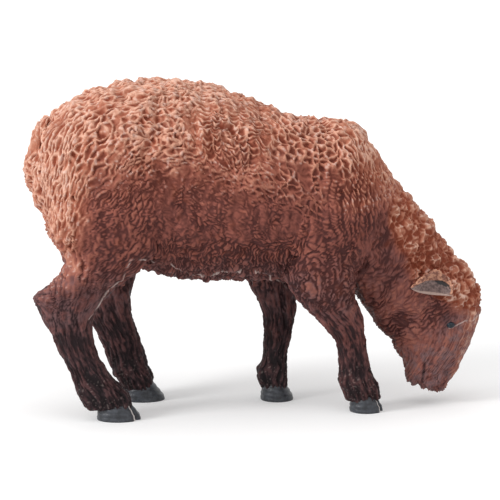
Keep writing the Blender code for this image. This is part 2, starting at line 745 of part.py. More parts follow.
def leg_plans():
    """The four legs, the near side being the animal's right."""
    hind_top = TORSO_WIDTH / 2.0 + HAUNCH_BULGE - HAUNCH_WIDTH / 2.0
    front_top = TORSO_WIDTH / 2.0 - SHOULDER_INSET - SHOULDER_WIDTH / 2.0
    rows = (
        ("hind_leg_right", -1, HIND_RIGHT_PLACE_SHARE, HIND_RIGHT_SHARES),
        ("hind_leg_left", 1, HIND_LEFT_PLACE_SHARE, HIND_LEFT_SHARES),
        ("front_leg_right", -1, FRONT_RIGHT_PLACE_SHARE, FRONT_RIGHT_SHARES),
        ("front_leg_left", 1, FRONT_LEFT_PLACE_SHARE, FRONT_LEFT_SHARES),
    )
    plans = []
    for name, side, place_share, sections in rows:
        hind = name.startswith("hind")
        track = HIND_TRACK if hind else FRONT_TRACK
        rise = HAUNCH_RISE if hind else SHOULDER_RISE
        plans.append(LegPlan(
            name=name,
            side=side,
            foot_x=TORSO_REAR + TORSO_LENGTH * place_share,
            foot_y=side * track / 2.0,
            top_y=side * (hind_top if hind else front_top),
            height=BELLY_HEIGHT + rise,
            reach=HIND_REACH if hind else FRONT_REACH,
            width=HAUNCH_WIDTH if hind else SHOULDER_WIDTH,
            hoof_length=HIND_HOOF_LENGTH if hind else FRONT_HOOF_LENGTH,
            sections=sections,
        ))
    return plans


def build_lamb():
    """Build the nine mouldings and seat them in one another."""
    clear_scene()
    parts = new_collection("grazing_lamb")
    cutters = new_collection("cutters")
    torso = build_torso(parts, paint("torso fleece", FLEECE_PAINT))
    head = build_head(parts, cutters, paint("neck and head fleece", FACE_PAINT))
    plans = leg_plans()
    for plan in plans:
        build_leg(plan, parts, cutters, paint(f"{plan.name} paint", LEG_PAINT))
    build_tail(parts, cutters, paint("tail fleece", FLEECE_PAINT))
    for side, name in ((-1, "ear_right"), (1, "ear_left")):
        build_ear(name, side, parts, cutters, paint(f"{name} paint", EAR_PAINT))
        boolean(head, ear_peg(name, side, JOINT_CLEARANCE, cutters), "DIFFERENCE")
    for plan in plans:
        carriers = [torso] if plan.name.startswith("hind") else [torso, head]
        seat_leg(plan, carriers, cutters)
    tail_seat = loft("tail seat", tail_rings(JOINT_CLEARANCE), cutters)
    boolean(torso, tail_seat, "DIFFERENCE")
    boolean(torso, tail_peg(JOINT_CLEARANCE, cutters), "DIFFERENCE")
    middle, _, facing, _ = neck_joint()
    neck_socket = square_peg(
        "neck socket", middle, -facing, NECK_PEG_WIDTH, NECK_PEG_LENGTH, cutters, JOINT_CLEARANCE
    )
    boolean(torso, neck_socket, "DIFFERENCE")


if __name__ == "__main__":
    build_lamb()
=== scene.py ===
"""Looks of a grazing toy lamb, moulded in soft PVC and painted by hand.

Every visible surface is worked out on a grid with numpy. The trunk, the neck,
the head and the legs are lofts that flow into one another as one skin. Wool
and hair are raised on that skin as relief, and the same relief steers the
paint: it is darker in the pits, partly as the toy's wash and partly as painted
shade, dry-brushed pale on the ridges, and near-white on some crests as painted
highlights.

The sums run in millimetres, and a mesh is turned into metres when it is made.
The head looks towards +X, the animal's right side faces -Y and Z is up.
"""

import itertools
import logging
import math
from collections.abc import Callable
from dataclasses import dataclass, field, fields
from enum import Enum

import bpy
import numpy as np
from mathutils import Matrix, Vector, noise


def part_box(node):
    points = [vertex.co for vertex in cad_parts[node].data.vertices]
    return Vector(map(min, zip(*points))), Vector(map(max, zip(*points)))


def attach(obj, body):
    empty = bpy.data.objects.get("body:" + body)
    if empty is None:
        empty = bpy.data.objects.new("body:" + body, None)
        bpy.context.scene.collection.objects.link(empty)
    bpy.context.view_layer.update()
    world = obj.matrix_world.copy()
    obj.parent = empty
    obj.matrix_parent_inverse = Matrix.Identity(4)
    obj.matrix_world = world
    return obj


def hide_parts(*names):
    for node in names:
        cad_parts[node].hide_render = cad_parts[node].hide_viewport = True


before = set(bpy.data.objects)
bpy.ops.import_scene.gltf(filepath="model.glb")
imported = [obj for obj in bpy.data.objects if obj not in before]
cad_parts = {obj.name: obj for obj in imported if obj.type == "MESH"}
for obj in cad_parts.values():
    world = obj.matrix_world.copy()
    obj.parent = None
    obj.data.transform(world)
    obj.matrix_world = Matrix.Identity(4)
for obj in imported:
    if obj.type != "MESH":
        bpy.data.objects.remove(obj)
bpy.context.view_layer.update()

Array = np.ndarray
LOG = logging.getLogger("lamb")
MM = 0.001
FULL_TURN = 2.0 * math.pi

# Rings and points of a ring that are tried to space a loft's rings evenly
TRIAL_RINGS = 900
TRIAL_POINTS = 8
# A loft's sections are joined by this many planes each when it is measured
PLANES_PER_SECTION = 3
# Points that are measured in one go, to bound the memory
BATCH = 60000
# Step of the finite differences that give the skin's slope, in mm
SLOPE_STEP = 0.05


class Slot(Enum):
    """The finishes that the record names."""

    FLEECE = "fleece"
    FACE = "face"
    LEG = "leg"
    EAR = "ear"
    HOOF = "hoof"
    EYE = "eye"


class Side(Enum):
    """The animal's own right and left, as the sign of Y."""

    RIGHT = -1
    LEFT = 1


# Sums on whole arrays


def smooth(values: Array, low: float, high: float) -> Array:
    """A step from 0 at low to 1 at high with level ends, 3t^2 - 2t^3."""
    share = np.clip((values - low) / (high - low), 0.0, 1.0)
    return share * share * (3.0 - 2.0 * share)


def bell(distance: Array, reach: float) -> Array:
    """A crest or groove round distance 0, e^-(distance / reach)^2."""
    return np.exp(-((distance / reach) ** 2))


def unit(vectors: Array) -> Array:
    """Vectors of length 1 along the last axis."""
    length = np.linalg.norm(vectors, axis=-1, keepdims=True)
    return vectors / np.maximum(length, 1e-9)


def dot(first: Array, second: Array) -> Array:
    """Scalar products along the last axis."""
    return np.einsum("...k,...k->...", first, second)


def through(rows: Array, places: Array) -> Array:
    """Read a smooth curve through rows of numbers.

    A Catmull-Rom cubic: between rows b and c, with a before and d after,
    half of 2b + (c-a)t + (2a-5b+4c-d)t^2 + (3b-a-3c+d)t^3.

    Args:
        rows: one row of numbers for each whole place.
        places: where to read, counted in rows from 0.

    Returns:
        One row of numbers for each place.
    """
    last = len(rows) - 1
    padded = np.vstack((2.0 * rows[0] - rows[1], rows, 2.0 * rows[-1] - rows[-2]))
    lower = np.clip(np.floor(places).astype(int), 0, last - 1)
    t = (places - lower)[:, None]
    a, b, c, d = (padded[lower + step] for step in range(4))
    cubic = (3.0 * b - a - 3.0 * c + d) * t + (2.0 * a - 5.0 * b + 4.0 * c - d)
    return 0.5 * (2.0 * b + ((c - a) + cubic * t) * t)


def bent(wave: Array, squareness: float) -> Array:
    """A cosine or sine raised to a power with its sign kept."""
    return np.sign(wave) * np.abs(wave) ** squareness


def turns(count: int) -> Array:
    """Even angles round a whole turn, from 0."""
    return np.linspace(0.0, FULL_TURN, count + 1)[:-1]


# Noise that is the same on each run: it hangs on places and salts only


# Odd numbers that a cell's axes are multiplied by, and two that spread the bits
HASH_AXES = (73856093, 19349663, 83492791)
HASH_SPREADS = (739982445, 695872825)
HASH_SALT = 40503
HASH_START = 977
# A distance, in cells, past which no seed is the nearest
FAR_SEED = 9.0
# How close a seed of leaning cells may come to its cell's border, in cells
SEED_MARGIN = 0.1


def chance(cell: Array, salt: int) -> Array:
    """Even random numbers from 0 to 1, one for each whole-number cell.

    An integer hash: each axis times an odd number is mixed in by exclusive
    or, then shifts and products spread the bits.

    Args:
        cell: whole numbers, with the axes of a cell last.
        salt: picks one of many independent fields.

    Returns:
        An array of the cells' shape without its last axis.
    """
    start = (salt * HASH_SALT + HASH_START) & 0xFFFFFFFF
    mixed = np.full(cell.shape[:-1], start, dtype=np.uint32)
    for axis, odd in zip(range(cell.shape[-1]), HASH_AXES):
        mixed ^= cell[..., axis].astype(np.int64).astype(np.uint32) * np.uint32(odd)
        mixed ^= mixed >> np.uint32(15)
        mixed *= np.uint32(HASH_SPREADS[0])
        mixed ^= mixed >> np.uint32(12)
        mixed *= np.uint32(HASH_SPREADS[1])
    mixed ^= mixed >> np.uint32(15)
    return mixed.astype(float) / 2.0**32


def drawn(line: Array, salt: int, row: Array | float = 0.0) -> Array:
    """Random numbers from 0 to 1 for whole numbers, or for pairs of them."""
    return chance(np.stack((line, row + 0.0 * line), axis=-1), salt)


def cloud(points: Array, size: float, salt: int) -> Array:
    """Soft noise from -1 to 1: random corner values, smoothly interpolated."""
    lattice = points / size
    base = np.floor(lattice)
    part = lattice - base
    part = part * part * (3.0 - 2.0 * part)
    total = np.zeros(len(points))
    for shift in itertools.product((0, 1), repeat=points.shape[-1]):
        corner = np.array(shift)
        weight = np.prod(np.where(corner == 1, part, 1.0 - part), axis=-1)
        total += weight * chance(base + corner, salt)
    return 2.0 * total - 1.0


def clouds(points: Array, size: float, *salts: int) -> Array:
    """Soft noises of one size side by side, one column for each salt."""
    return np.stack([cloud(points, size, salt) for salt in salts], axis=-1)


def cells(points: Array, jitter: float, salt: int) -> tuple[Array, Array, Array]:
    """Cellular noise on a unit lattice with one seed point in each cell.

    Args:
        points: places in lattice units, of two or three axes.
        jitter: how far seeds stray from the middle of their cells, 0 to 1.
        salt: picks the pattern.

    Returns:
        The distance to the nearest seed, how much further the second
        nearest is, which is 0 on the walls between cells, and a random
        number for the nearest cell.
    """
    base = np.floor(points)
    count, axes = points.shape
    nearest, second, owner = np.full(count, FAR_SEED), np.full(count, FAR_SEED), np.zeros(count)
    for shift in itertools.product((-1, 0, 1), repeat=axes):
        cell = base + np.array(shift)
        stray = np.stack([chance(cell, salt + axis) for axis in range(axes)], axis=-1)
        away = np.linalg.norm(points - (cell + 0.5 + jitter * (stray - 0.5)), axis=-1)
        closer = away < nearest
        second = np.where(closer, nearest, np.minimum(second, away))
        owner = np.where(closer, chance(cell, salt + 7), owner)
        nearest = np.where(closer, away, nearest)
    return nearest, second - nearest, owner


def leaning_cells(lattice: Array, way: Array, stretch: float, salt: int) -> tuple[Array, Array, Array, Array]:
    """Cellular noise in a plane, its cells drawn out along a heading.

    With u and v a seed's offset along and across the heading, its distance is
    sqrt((u / s)^2 + (v s)^2), and the wall is the bisector of the nearest two.

    Args:
        lattice: places in lattice units.
        way: unit vectors of the heading in the plane.
        stretch: s, over 1 for cells that are long along the heading.
        salt: picks the pattern.

    Returns:
        The nearest seed's v, the distance to the wall in lattice units, how
        far the wall lies along the heading, from 0 to 1, and a random number
        for the cell.
    """
    base = np.floor(lattice)
    count = len(lattice)
    nearest, second, owner = np.full(count, FAR_SEED), np.full(count, FAR_SEED), np.zeros(count)
    spot, other = np.zeros((2, count)), np.ones((2, count))
    for shift in itertools.product((-2, -1, 0, 1, 2), repeat=2):
        cell = base + np.array(shift)
        stray = np.stack([chance(cell, salt + axis) for axis in (0, 1)], axis=-1)
        u, v = (lattice - cell - SEED_MARGIN - (1.0 - 2.0 * SEED_MARGIN) * stray).T
        here = np.stack((
            (u * way[:, 0] + v * way[:, 1]) / stretch,
            (v * way[:, 0] - u * way[:, 1]) * stretch,
        ))
        away = np.hypot(here[0], here[1])
        closer, runner = away < nearest, away < second
        other = np.where(closer, spot, np.where(runner, here, other))
        second = np.where(closer, nearest, np.where(runner, away, second))
        spot = np.where(closer, here, spot)
        owner = np.where(closer, chance(cell, salt + 7), owner)
        nearest = np.where(closer, away, nearest)
    apart = np.abs(spot - other) + 1e-6
    size = np.hypot(apart[0], apart[1])
    slope = np.hypot(apart[0] / stretch, apart[1] * stretch) / size
    wall = (second**2 - nearest**2) / (2.0 * size * slope)
    return spot[1], wall, apart[1] / (apart[0] + apart[1]), owner


# The skin


@dataclass
class Spot:
    """Where points lie in a loft: section, height and width shares, distance."""

    place: Array
    high: Array
    wide: Array
    distance: Array


@dataclass
class Loft:
    """A body carried along its sections, each a squared oval in its own plane.

    A section has a centre, a half vector up to its edge in the plane of
    symmetry and a half width along Y. Both ends are closed by domes.

    Attributes:
        centres: middles of the sections, in mm.
        ups: half vectors from the middles to the upper edges.
        sides: half widths.
        squareness: 1 for an oval, less for a fuller section.
        start_dome: height of the dome before the first section.
        end_dome: height of the dome after the last one.
    """

    centres: Array
    ups: Array
    sides: Array
    squareness: float = 0.92
    start_dome: float = 0.8
    end_dome: float = 0.8

    def __post_init__(self) -> None:
        """Work out the planes that distances are measured from."""
        self.last = len(self.sides) - 1
        self.plane_places = np.linspace(0.0, self.last, self.last * PLANES_PER_SECTION + 1)
        self.plane_centres, self.plane_ups, self.plane_sides = self.sections(self.plane_places)
        self.facings = self.facing(self.plane_ups)
        self.plane_offsets = dot(self.plane_centres, self.facings)

    @staticmethod
    def facing(ups: Array) -> Array:
        """Forward normals of section planes, square to the up vectors and Y."""
        return unit(np.stack((ups[..., 2], np.zeros(ups.shape[:-1]), -ups[..., 0]), axis=-1))

    def sections(self, places: Array) -> tuple[Array, Array, Array]:
        """Centres, up vectors and half widths at places between the sections."""
        rows = np.column_stack((self.centres, self.ups, self.sides))
        read = through(rows, places)
        return read[:, 0:3], read[:, 3:6], read[:, 6]

    def rings(self, places: Array, angles: Array) -> Array:
        """Points of the surface, as centre + up cos^s(angle) + side sin^s(angle).

        Past the first or last section the ring shrinks along a dome, as the
        cosine of a quarter turn that ends one place further on.

        Args:
            places: one place for each ring, from -1 to one past the last section.
            angles: one angle for each point of a ring, 0 at the upper edge.

        Returns:
            An array of rings by angles by 3.
        """
        inside = np.clip(places, 0.0, self.last)
        centres, ups, sides = self.sections(inside)
        past = np.clip(places - inside, -1.0, 1.0)
        quarter = np.abs(past) * math.pi / 2.0
        dome = np.where(past < 0.0, -self.start_dome, self.end_dome) * np.sin(quarter)
        centres = centres + self.facing(ups) * dome[:, None]
        shrink = np.cos(quarter)
        up_share = bent(np.cos(angles), self.squareness)
        side_share = bent(np.sin(angles), self.squareness)
        points = centres[:, None, :] + (ups * shrink[:, None])[:, None, :] * up_share[None, :, None]
        points[:, :, 1] += (sides * shrink)[:, None] * side_share[None, :]
        return points

    def spaced(self, count: int, first: float, final: float) -> Array:
        """Places from first to final whose rings lie about evenly apart."""
        trial = np.linspace(first, final, TRIAL_RINGS)
        rings = self.rings(trial, turns(TRIAL_POINTS))
        steps = np.linalg.norm(np.diff(rings, axis=0), axis=-1).max(axis=1)
        run = np.concatenate(([0.0], np.cumsum(steps)))
        return np.interp(np.linspace(0.0, run[-1], count), run, trial)

    def locate(self, points: Array) -> Spot:
        """Find the section plane through each point and its place in that plane.

        The planes fan out, so a point lies between the last plane that it is
        ahead of and the next, and its share of the way is the ratio of its two
        distances. In the plane, rho = (|high|^m + |wide|^m)^(1/m) is 1 on the
        surface, and (1 - 1/rho) times the way to the centre is the distance.

        Args:
            points: places in mm.

        Returns:
            The spot of each point.
        """
        ahead = points @ self.facings.T - self.plane_offsets
        passed = ahead[:, 1:] < 0.0
        lower = np.where(passed.any(axis=1), passed.argmax(axis=1), len(self.plane_places) - 2)
        row = np.arange(len(points))
        near, far = ahead[row, lower], ahead[row, lower + 1]
        share = np.clip(near / np.maximum(near - far, 1e-9), 0.0, 1.0)
        upper = lower + 1
        blend = share[:, None]
        centres = self.plane_centres[lower] * (1.0 - blend) + self.plane_centres[upper] * blend
        ups = self.plane_ups[lower] * (1.0 - blend) + self.plane_ups[upper] * blend
        sides = self.plane_sides[lower] * (1.0 - share) + self.plane_sides[upper] * share
        away = points - centres
        high = dot(away, ups) / dot(ups, ups)
        wide = away[:, 1] / sides
        power = 2.0 / self.squareness
        beyond = np.where(near < 0.0, -near / self.start_dome, np.maximum(far, 0.0) / self.end_dome)
        flat = (np.abs(high) ** power + np.abs(wide) ** power) ** (2.0 / power)
        rho = np.sqrt(flat + beyond**2) + 1e-9
        distance = np.linalg.norm(away, axis=-1) * (1.0 - 1.0 / rho)
        place = (lower + share) / PLANES_PER_SECTION
        return Spot(place, high, wide, distance)


def level_loft(middles: Array, lengths: Array, widths: Array, shape: tuple[float, float, float]) -> Loft:
    """A loft whose sections are level.

    Args:
        middles: the sections' x, y and z, one row each.
        lengths: their half lengths along X.
        widths: their half widths along Y.
        shape: their squareness, and the heights of the start and end domes.

    Returns:
        The loft.
    """
    ups = np.zeros((len(lengths), 3))
    ups[:, 0] = lengths
    return Loft(middles.T, ups, widths, *shape)


@dataclass
class Skin:
    """The lofts of the animal, which flow into one another.

    Attributes:
        lofts: the lofts by name.
        blend: how widely two of them flow together, in mm.
        reach: how deep a point may lie in another loft and still be lifted
            out to the common surface, in mm.
        whole_reach: the share of it to which a point is lifted all the way.
        near: how many blends away another loft still moves a point.
        far: the distance at which a loft stops to count, in mm.
        least_slope: the least square of the slope that a step divides by.
        sink: how far a loft is sunk where another owns the surface, in mm.
        sink_span: how much nearer the other is where that is whole, in mm.
    """

    lofts: dict[str, Loft]
    blend: float = 1.1
    reach: float = 2.6
    whole_reach: float = 0.7
    near: float = 4.0
    far: float = 30.0
    least_slope: float = 0.05
    sink: float = 0.2
    sink_span: float = 1.2

    def distances(self, points: Array) -> Array:
        """Distance of each point to each loft, one column a loft."""
        return np.stack([loft.locate(points).distance for loft in self.lofts.values()], axis=-1)

    def depth(self, points: Array) -> Array:
        """Distance to the common surface, -k ln(sum of e^(-d/k)) over the lofts."""
        apart = np.clip(self.distances(points), -self.far, self.far)
        return -self.blend * np.log(np.exp(-apart / self.blend).sum(axis=-1))

    def slope(self, points: Array) -> tuple[Array, Array]:
        """The distance to the common surface, and the way in which it grows."""
        depths = np.empty(len(points))
        slopes = np.empty((len(points), 3))
        for start in range(0, len(points), BATCH):
            part = slice(start, start + BATCH)
            here = self.depth(points[part])
            depths[part] = here
            for axis in range(3):
                step = np.zeros(3)
                step[axis] = SLOPE_STEP
                slopes[part, axis] = (self.depth(points[part] + step) - here) / SLOPE_STEP
        return depths, slopes

    def apart(self, points: Array, own: str) -> tuple[Array, Array]:
        """Distances to a loft itself and to the nearest of the others."""
        names = list(self.lofts)
        mine, others = np.empty(len(points)), np.empty(len(points))
        for start in range(0, len(points), BATCH):
            part = slice(start, start + BATCH)
            each = self.distances(points[part])
            mine[part] = each[:, names.index(own)]
            others[part] = np.delete(each, names.index(own), axis=1).min(axis=1)
        return mine, others

    def settle(self, points: Array, own: str) -> tuple[Array, Array]:
        """Lift a loft's points out to the common surface.

        Args:
            points: places on the loft's own surface.
            own: the loft's name.

        Returns:
            The lifted points, and how far each is to be sunk because another
            loft owns the surface there.
        """
        near = self.apart(points, own)[1] < self.near * self.blend
        moved = points[near]
        for _ in range(2):
            depths, slopes = self.slope(moved)
            size = np.maximum((slopes**2).sum(axis=-1), self.least_slope)
            wanted = smooth(depths, -self.reach, -self.whole_reach * self.reach)
            moved = moved - slopes * (np.minimum(depths, 0.0) * wanted / size)[:, None]
        settled = points.copy()
        settled[near] = moved
        mine, others = self.apart(settled, own)
        return settled, self.sink * smooth(mine - others, 0.0, self.sink_span)


def grid_normals(grid: Array) -> Array:
    """Outward unit vectors of a grid, as cross products of its two slopes."""
    along = np.gradient(grid, axis=0)
    around = np.roll(grid, -1, axis=1) - np.roll(grid, 1, axis=1)
    normals = unit(np.cross(along, around))
    outward = dot(normals, grid - grid.mean(axis=1, keepdims=True)).mean()
    return normals * np.sign(outward)


# Meshes


def make_piece(
    name: str, rings: Array, start: Array, end: Array, paint: dict[str, Array]
) -> bpy.types.Object:
    """Turn rings of points into a closed mesh with a pole at each end.

    Args:
        name: the piece's name.
        rings: rows by columns by 3, in mm.
        start: the pole before the first ring.
        end: the pole after the last one.
        paint: numbers for each point, the rings' first, then the poles'.

    Returns:
        The new object, at the origin, with its faces pointing out.
    """
    rows, columns = rings.shape[:2]
    points = np.vstack((rings.reshape(-1, 3), start, end))
    index = np.arange(rows * columns).reshape(rows, columns)
    after = np.roll(index, -1, axis=1)
    quads = np.stack((index[:-1], after[:-1], after[1:], index[1:]), axis=-1).reshape(-1, 4)
    first = np.stack((np.full(columns, rows * columns), after[0], index[0]), axis=-1)
    final = np.stack((np.full(columns, rows * columns + 1), index[-1], after[-1]), axis=-1)
    fans = np.vstack((first, final))
    corners = points[quads]
    volume = dot(np.cross(corners[:, 0], corners[:, 1]), corners[:, 2]).sum()
    volume += dot(np.cross(corners[:, 0], corners[:, 2]), corners[:, 3]).sum()
    if volume < 0.0:
        quads, fans = quads[:, ::-1], fans[:, ::-1]
    loops = np.concatenate((quads.ravel(), fans.ravel()))
    sizes = np.concatenate((np.full(len(quads), 4), np.full(len(fans), 3)))
    mesh = bpy.data.meshes.new(name)
    mesh.vertices.add(len(points))
    mesh.vertices.foreach_set("co", (points * MM).astype(np.float32).ravel())
    mesh.loops.add(len(loops))
    mesh.loops.foreach_set("vertex_index", loops.astype(np.int32))
    mesh.polygons.add(len(sizes))
    starts = np.concatenate(([0], np.cumsum(sizes)[:-1]))
    mesh.polygons.foreach_set("loop_start", starts.astype(np.int32))
    mesh.update(calc_edges=True)
    mesh.validate()
    mesh.shade_smooth()
    for layer, values in paint.items():
        mesh.attributes.new(layer, "FLOAT", "POINT").data.foreach_set("value", values.astype(np.float32))
    piece = bpy.data.objects.new(name, mesh)
    bpy.context.scene.collection.objects.link(piece)
    return piece


def close_up(
    name: str, grid: Array, paint: dict[str, Array], bare_poles: bool = False
) -> bpy.types.Object:
    """Make the piece of a grid whose first and last rings become its poles.

    Args:
        name: the piece's name.
        grid: rows by columns by 3, in mm.
        paint: numbers for each point of the grid.
        bare_poles: whether the poles take 0, not the mean of their rings.

    Returns:
        The new object.
    """
    layers = {}
    for layer, values in paint.items():
        poles = [0.0, 0.0] if bare_poles else [values[0].mean(), values[-1].mean()]
        layers[layer] = np.concatenate((values[1:-1].ravel(), poles))
    return make_piece(name, grid[1:-1], grid[0].mean(axis=0), grid[-1].mean(axis=0), layers)


def hand_over(piece: bpy.types.Object, slot: Slot, material: bpy.types.Material, *nodes: str) -> None:
    """Dress a piece, let it ride on the figure and say what it stands for."""
    piece.data.materials.append(material)
    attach(piece, "root")
    if nodes:
        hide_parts(*nodes)
    stands_for = ", ".join(nodes) or "itself"
    LOG.info("%s: %d faces, stands for %s", piece.name, len(piece.data.polygons), stands_for)


# The sizes that the frame gives


def node_box(node: str) -> tuple[Array, Array]:
    """A solid's lowest and highest corner, in mm."""
    low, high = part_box(node)
    return np.array(low) / MM, np.array(high) / MM


@dataclass
class Build:
    """The animal's driving sizes, in mm, read from the frame's boxes.

    Attributes:
        cage_sink: how far the rump's cage reached past the solid's skin.
        cage_depth: how much deeper than the solid a small cage was.
        tuft_depth: how much the tufts add to the trunk's depth and width.
        tuft_low: the share of it that lies under the belly.
        reach_gain: how many times longer the head's cage was than the solid.
        drop_gain: how many times deeper it was.
    """

    cage_sink: float = 0.11
    cage_depth: float = 0.2
    tuft_depth: float = 0.17
    tuft_low: float = 0.75
    reach_gain: float = 1.008
    drop_gain: float = 1.005

    def __post_init__(self) -> None:
        """Measure the trunk and the head."""
        low, high = node_box("torso")
        self.rear = low[0] - self.cage_sink
        self.length = (high[0] - self.rear) / TRUNK_SHARES[-1][0]
        self.belly = low[2] + self.tuft_depth * self.tuft_low
        self.depth = high[2] - low[2] - self.tuft_depth
        self.width = high[1] - low[1] - self.tuft_depth
        top, bottom = self.trunk_point(*TRUNK_SHARES[-1][0:2]), self.trunk_point(*TRUNK_SHARES[-1][2:4])
        self.joint = (top + bottom) / 2.0
        low, high = node_box("neck_and_head")
        self.reach = (high[0] - self.joint[0]) / max(row[0] for row in HEAD_SHARES) * self.reach_gain
        self.drop = (self.joint[2] - low[2]) / max(row[3] for row in HEAD_SHARES) * self.drop_gain
        self.head_width = (high[1] - low[1]) * HEAD_WIDTH_SHARE

    def trunk_point(self, along: float, up: float) -> Array:
        """A point of the trunk's side view, from shares of its length and depth."""
        return np.array((self.rear + self.length * along, 0.0, self.belly + self.depth * up))

    def head_point(self, reach: float, drop: float) -> Array:
        """A point of the head's side view, from shares counted from the joint."""
        return self.joint + np.array((self.reach * reach, 0.0, -self.drop * drop))


# Trunk sections from rump to neck: the upper edge's place along and up, the
# lower edge's, and the width, as shares of the trunk's length, depth and width
TRUNK_SHARES = (
    (0.000, 0.68, 0.012, 0.36, 0.40),
    (0.030, 0.80, 0.036, 0.23, 0.68),
    (0.088, 0.895, 0.092, 0.15, 0.87),
    (0.165, 0.960, 0.165, 0.105, 0.97),
    (0.255, 1.00, 0.255, 0.080, 1.00),
    (0.370, 1.00, 0.355, 0.030, 0.99),
    (0.480, 0.975, 0.455, 0.005, 1.00),
    (0.590, 0.905, 0.550, 0.000, 1.00),
    (0.690, 0.830, 0.640, 0.000, 0.97),
    (0.785, 0.795, 0.700, 0.000, 0.92),
    (0.885, 0.775, 0.760, 0.000, 0.86),
    (0.955, 0.635, 0.808, 0.005, 0.77),
    (1.004, 0.505, 0.850, 0.010, 0.67),
)
# Neck and head sections from the joint to the lips: the nape's or forehead's
# point and the throat's or jaw's, from the joint's middle, and the width
HEAD_SHARES = (
    (0.340, -0.190, -0.115, 0.375, 1.30),
    (0.465, -0.085, -0.010, 0.475, 1.22),
    (0.615, 0.045, 0.065, 0.555, 1.14),
    (0.755, 0.165, 0.140, 0.625, 1.07),
    (0.890, 0.275, 0.232, 0.695, 1.01),
    (0.985, 0.395, 0.296, 0.765, 0.94),
    (0.992, 0.515, 0.342, 0.830, 0.85),
    (0.950, 0.630, 0.362, 0.885, 0.75),
    (0.900, 0.730, 0.376, 0.925, 0.66),
    (0.838, 0.820, 0.408, 0.952, 0.57),
    (0.785, 0.895, 0.478, 0.976, 0.49),
    (0.715, 0.958, 0.570, 0.995, 0.34),
)
HEAD_WIDTH_SHARE = 0.729
JOINT_PLACE = float(len(TRUNK_SHARES) - 1)
# How far the fleece's tufts rise on each section from the rump to the poll, on
# the back or nape and round the lower half
TUFT_SHARES = (
    (1.0, 0.2), (1.0, 0.0), (1.0, 0.0), (1.0, 0.0), (1.0, 0.2), (1.0, 0.8), (1.0, 1.0),
    (1.0, 0.9), (1.0, 0.4), (1.0, 0.0), (1.0, 0.0), (0.6, 0.0), (0.0, 0.0), (0.8, 0.0),
    (1.0, 0.2), (1.0, 0.4), (1.0, 0.4), (0.6, 0.2), (0.0, 0.0),
)

# Leg sections from haunch or shoulder down into the hoof: height, rear and
# front edge from the hoof's middle, how far out, and width, all as shares
LEG_SHARES = {
    "hind_leg_right": (
        (1.000, -0.39, 0.08, 1.0, 0.45),
        (0.945, -0.56, 0.26, 1.0, 0.85),
        (0.845, -0.62, 0.37, 1.0, 1.00),
        (0.745, -0.51, 0.35, 1.0, 1.00),
        (0.670, -0.53, 0.20, 0.9, 0.94),
        (0.610, -0.64, 0.05, 0.7, 0.86),
        (0.550, -0.80, -0.11, 0.4, 0.79),
        (0.465, -0.72, -0.22, 0.1, 0.74),
        (0.380, -0.63, -0.24, 0.0, 0.72),
        (0.300, -0.55, -0.20, 0.0, 0.71),
        (0.225, -0.47, -0.11, 0.0, 0.70),
        (0.155, -0.41, 0.01, 0.0, 0.70),
        (0.105, -0.37, 0.12, 0.0, 0.70),
        (0.060, -0.32, 0.15, 0.0, 0.60),
    ),
    "hind_leg_left": (
        (1.000, -0.59, -0.14, 1.0, 0.45),
        (0.945, -0.76, 0.03, 1.0, 0.85),
        (0.845, -0.85, 0.13, 1.0, 1.00),
        (0.745, -0.84, 0.12, 1.0, 1.00),
        (0.665, -0.79, 0.06, 0.9, 0.94),
        (0.600, -0.74, -0.01, 0.7, 0.86),
        (0.535, -0.69, -0.07, 0.4, 0.79),
        (0.455, -0.61, -0.11, 0.1, 0.73),
        (0.375, -0.52, -0.09, 0.0, 0.70),
        (0.300, -0.43, -0.04, 0.0, 0.68),
        (0.225, -0.36, 0.01, 0.0, 0.66),
        (0.155, -0.31, 0.06, 0.0, 0.66),
        (0.105, -0.25, 0.11, 0.0, 0.67),
        (0.060, -0.20, 0.10, 0.0, 0.58),
    ),
    "front_leg_right": (
        (1.000, -0.65, -0.14, 1.0, 0.45),
        (0.935, -0.82, 0.00, 1.0, 0.85),
        (0.820, -0.90, 0.02, 1.0, 1.00),
        (0.705, -0.96, -0.08, 1.0, 1.00),
        (0.625, -0.98, -0.16, 0.85, 0.96),
        (0.555, -0.92, -0.17, 0.70, 0.91),
        (0.490, -0.77, -0.11, 0.50, 0.84),
        (0.420, -0.58, -0.04, 0.30, 0.76),
        (0.350, -0.41, -0.02, 0.15, 0.70),
        (0.285, -0.34, 0.00, 0.05, 0.68),
        (0.215, -0.33, 0.05, 0.0, 0.66),
        (0.150, -0.32, 0.10, 0.0, 0.68),
        (0.105, -0.29, 0.17, 0.0, 0.69),
        (0.060, -0.24, 0.18, 0.0, 0.60),
    ),
    "front_leg_left": (
        (1.000, -0.40, 0.19, 1.0, 0.45),
        (0.935, -0.56, 0.32, 1.0, 0.85),
        (0.820, -0.62, 0.38, 1.0, 1.00),
        (0.705, -0.60, 0.40, 1.0, 1.00),
        (0.625, -0.50, 0.38, 0.85, 0.94),
        (0.555, -0.36, 0.33, 0.70, 0.87),
        (0.490, -0.27, 0.27, 0.50, 0.80),
        (0.420, -0.17, 0.25, 0.30, 0.73),
        (0.350, -0.14, 0.22, 0.15, 0.68),
        (0.285, -0.14, 0.18, 0.05, 0.65),
        (0.215, -0.15, 0.14, 0.0, 0.63),
        (0.150, -0.20, 0.14, 0.0, 0.65),
        (0.105, -0.23, 0.14, 0.0, 0.66),
        (0.060, -0.18, 0.14, 0.0, 0.58),
    ),
}
# Where each hoof's middle stands along the trunk
FOOT_PLACE_SHARES = {
    "hind_leg_right": 0.212,
    "hind_leg_left": 0.296,
    "front_leg_right": 0.921,
    "front_leg_left": 0.682,
}
# Hoof sections from the coronet down to below the sole: height, heel, toe, width
HOOF_SHARES = (
    (1.00, -0.34, 0.22, 0.74),
    (0.62, -0.42, 0.36, 0.94),
    (0.22, -0.46, 0.50, 1.00),
    (-0.20, -0.46, 0.56, 1.00),
)
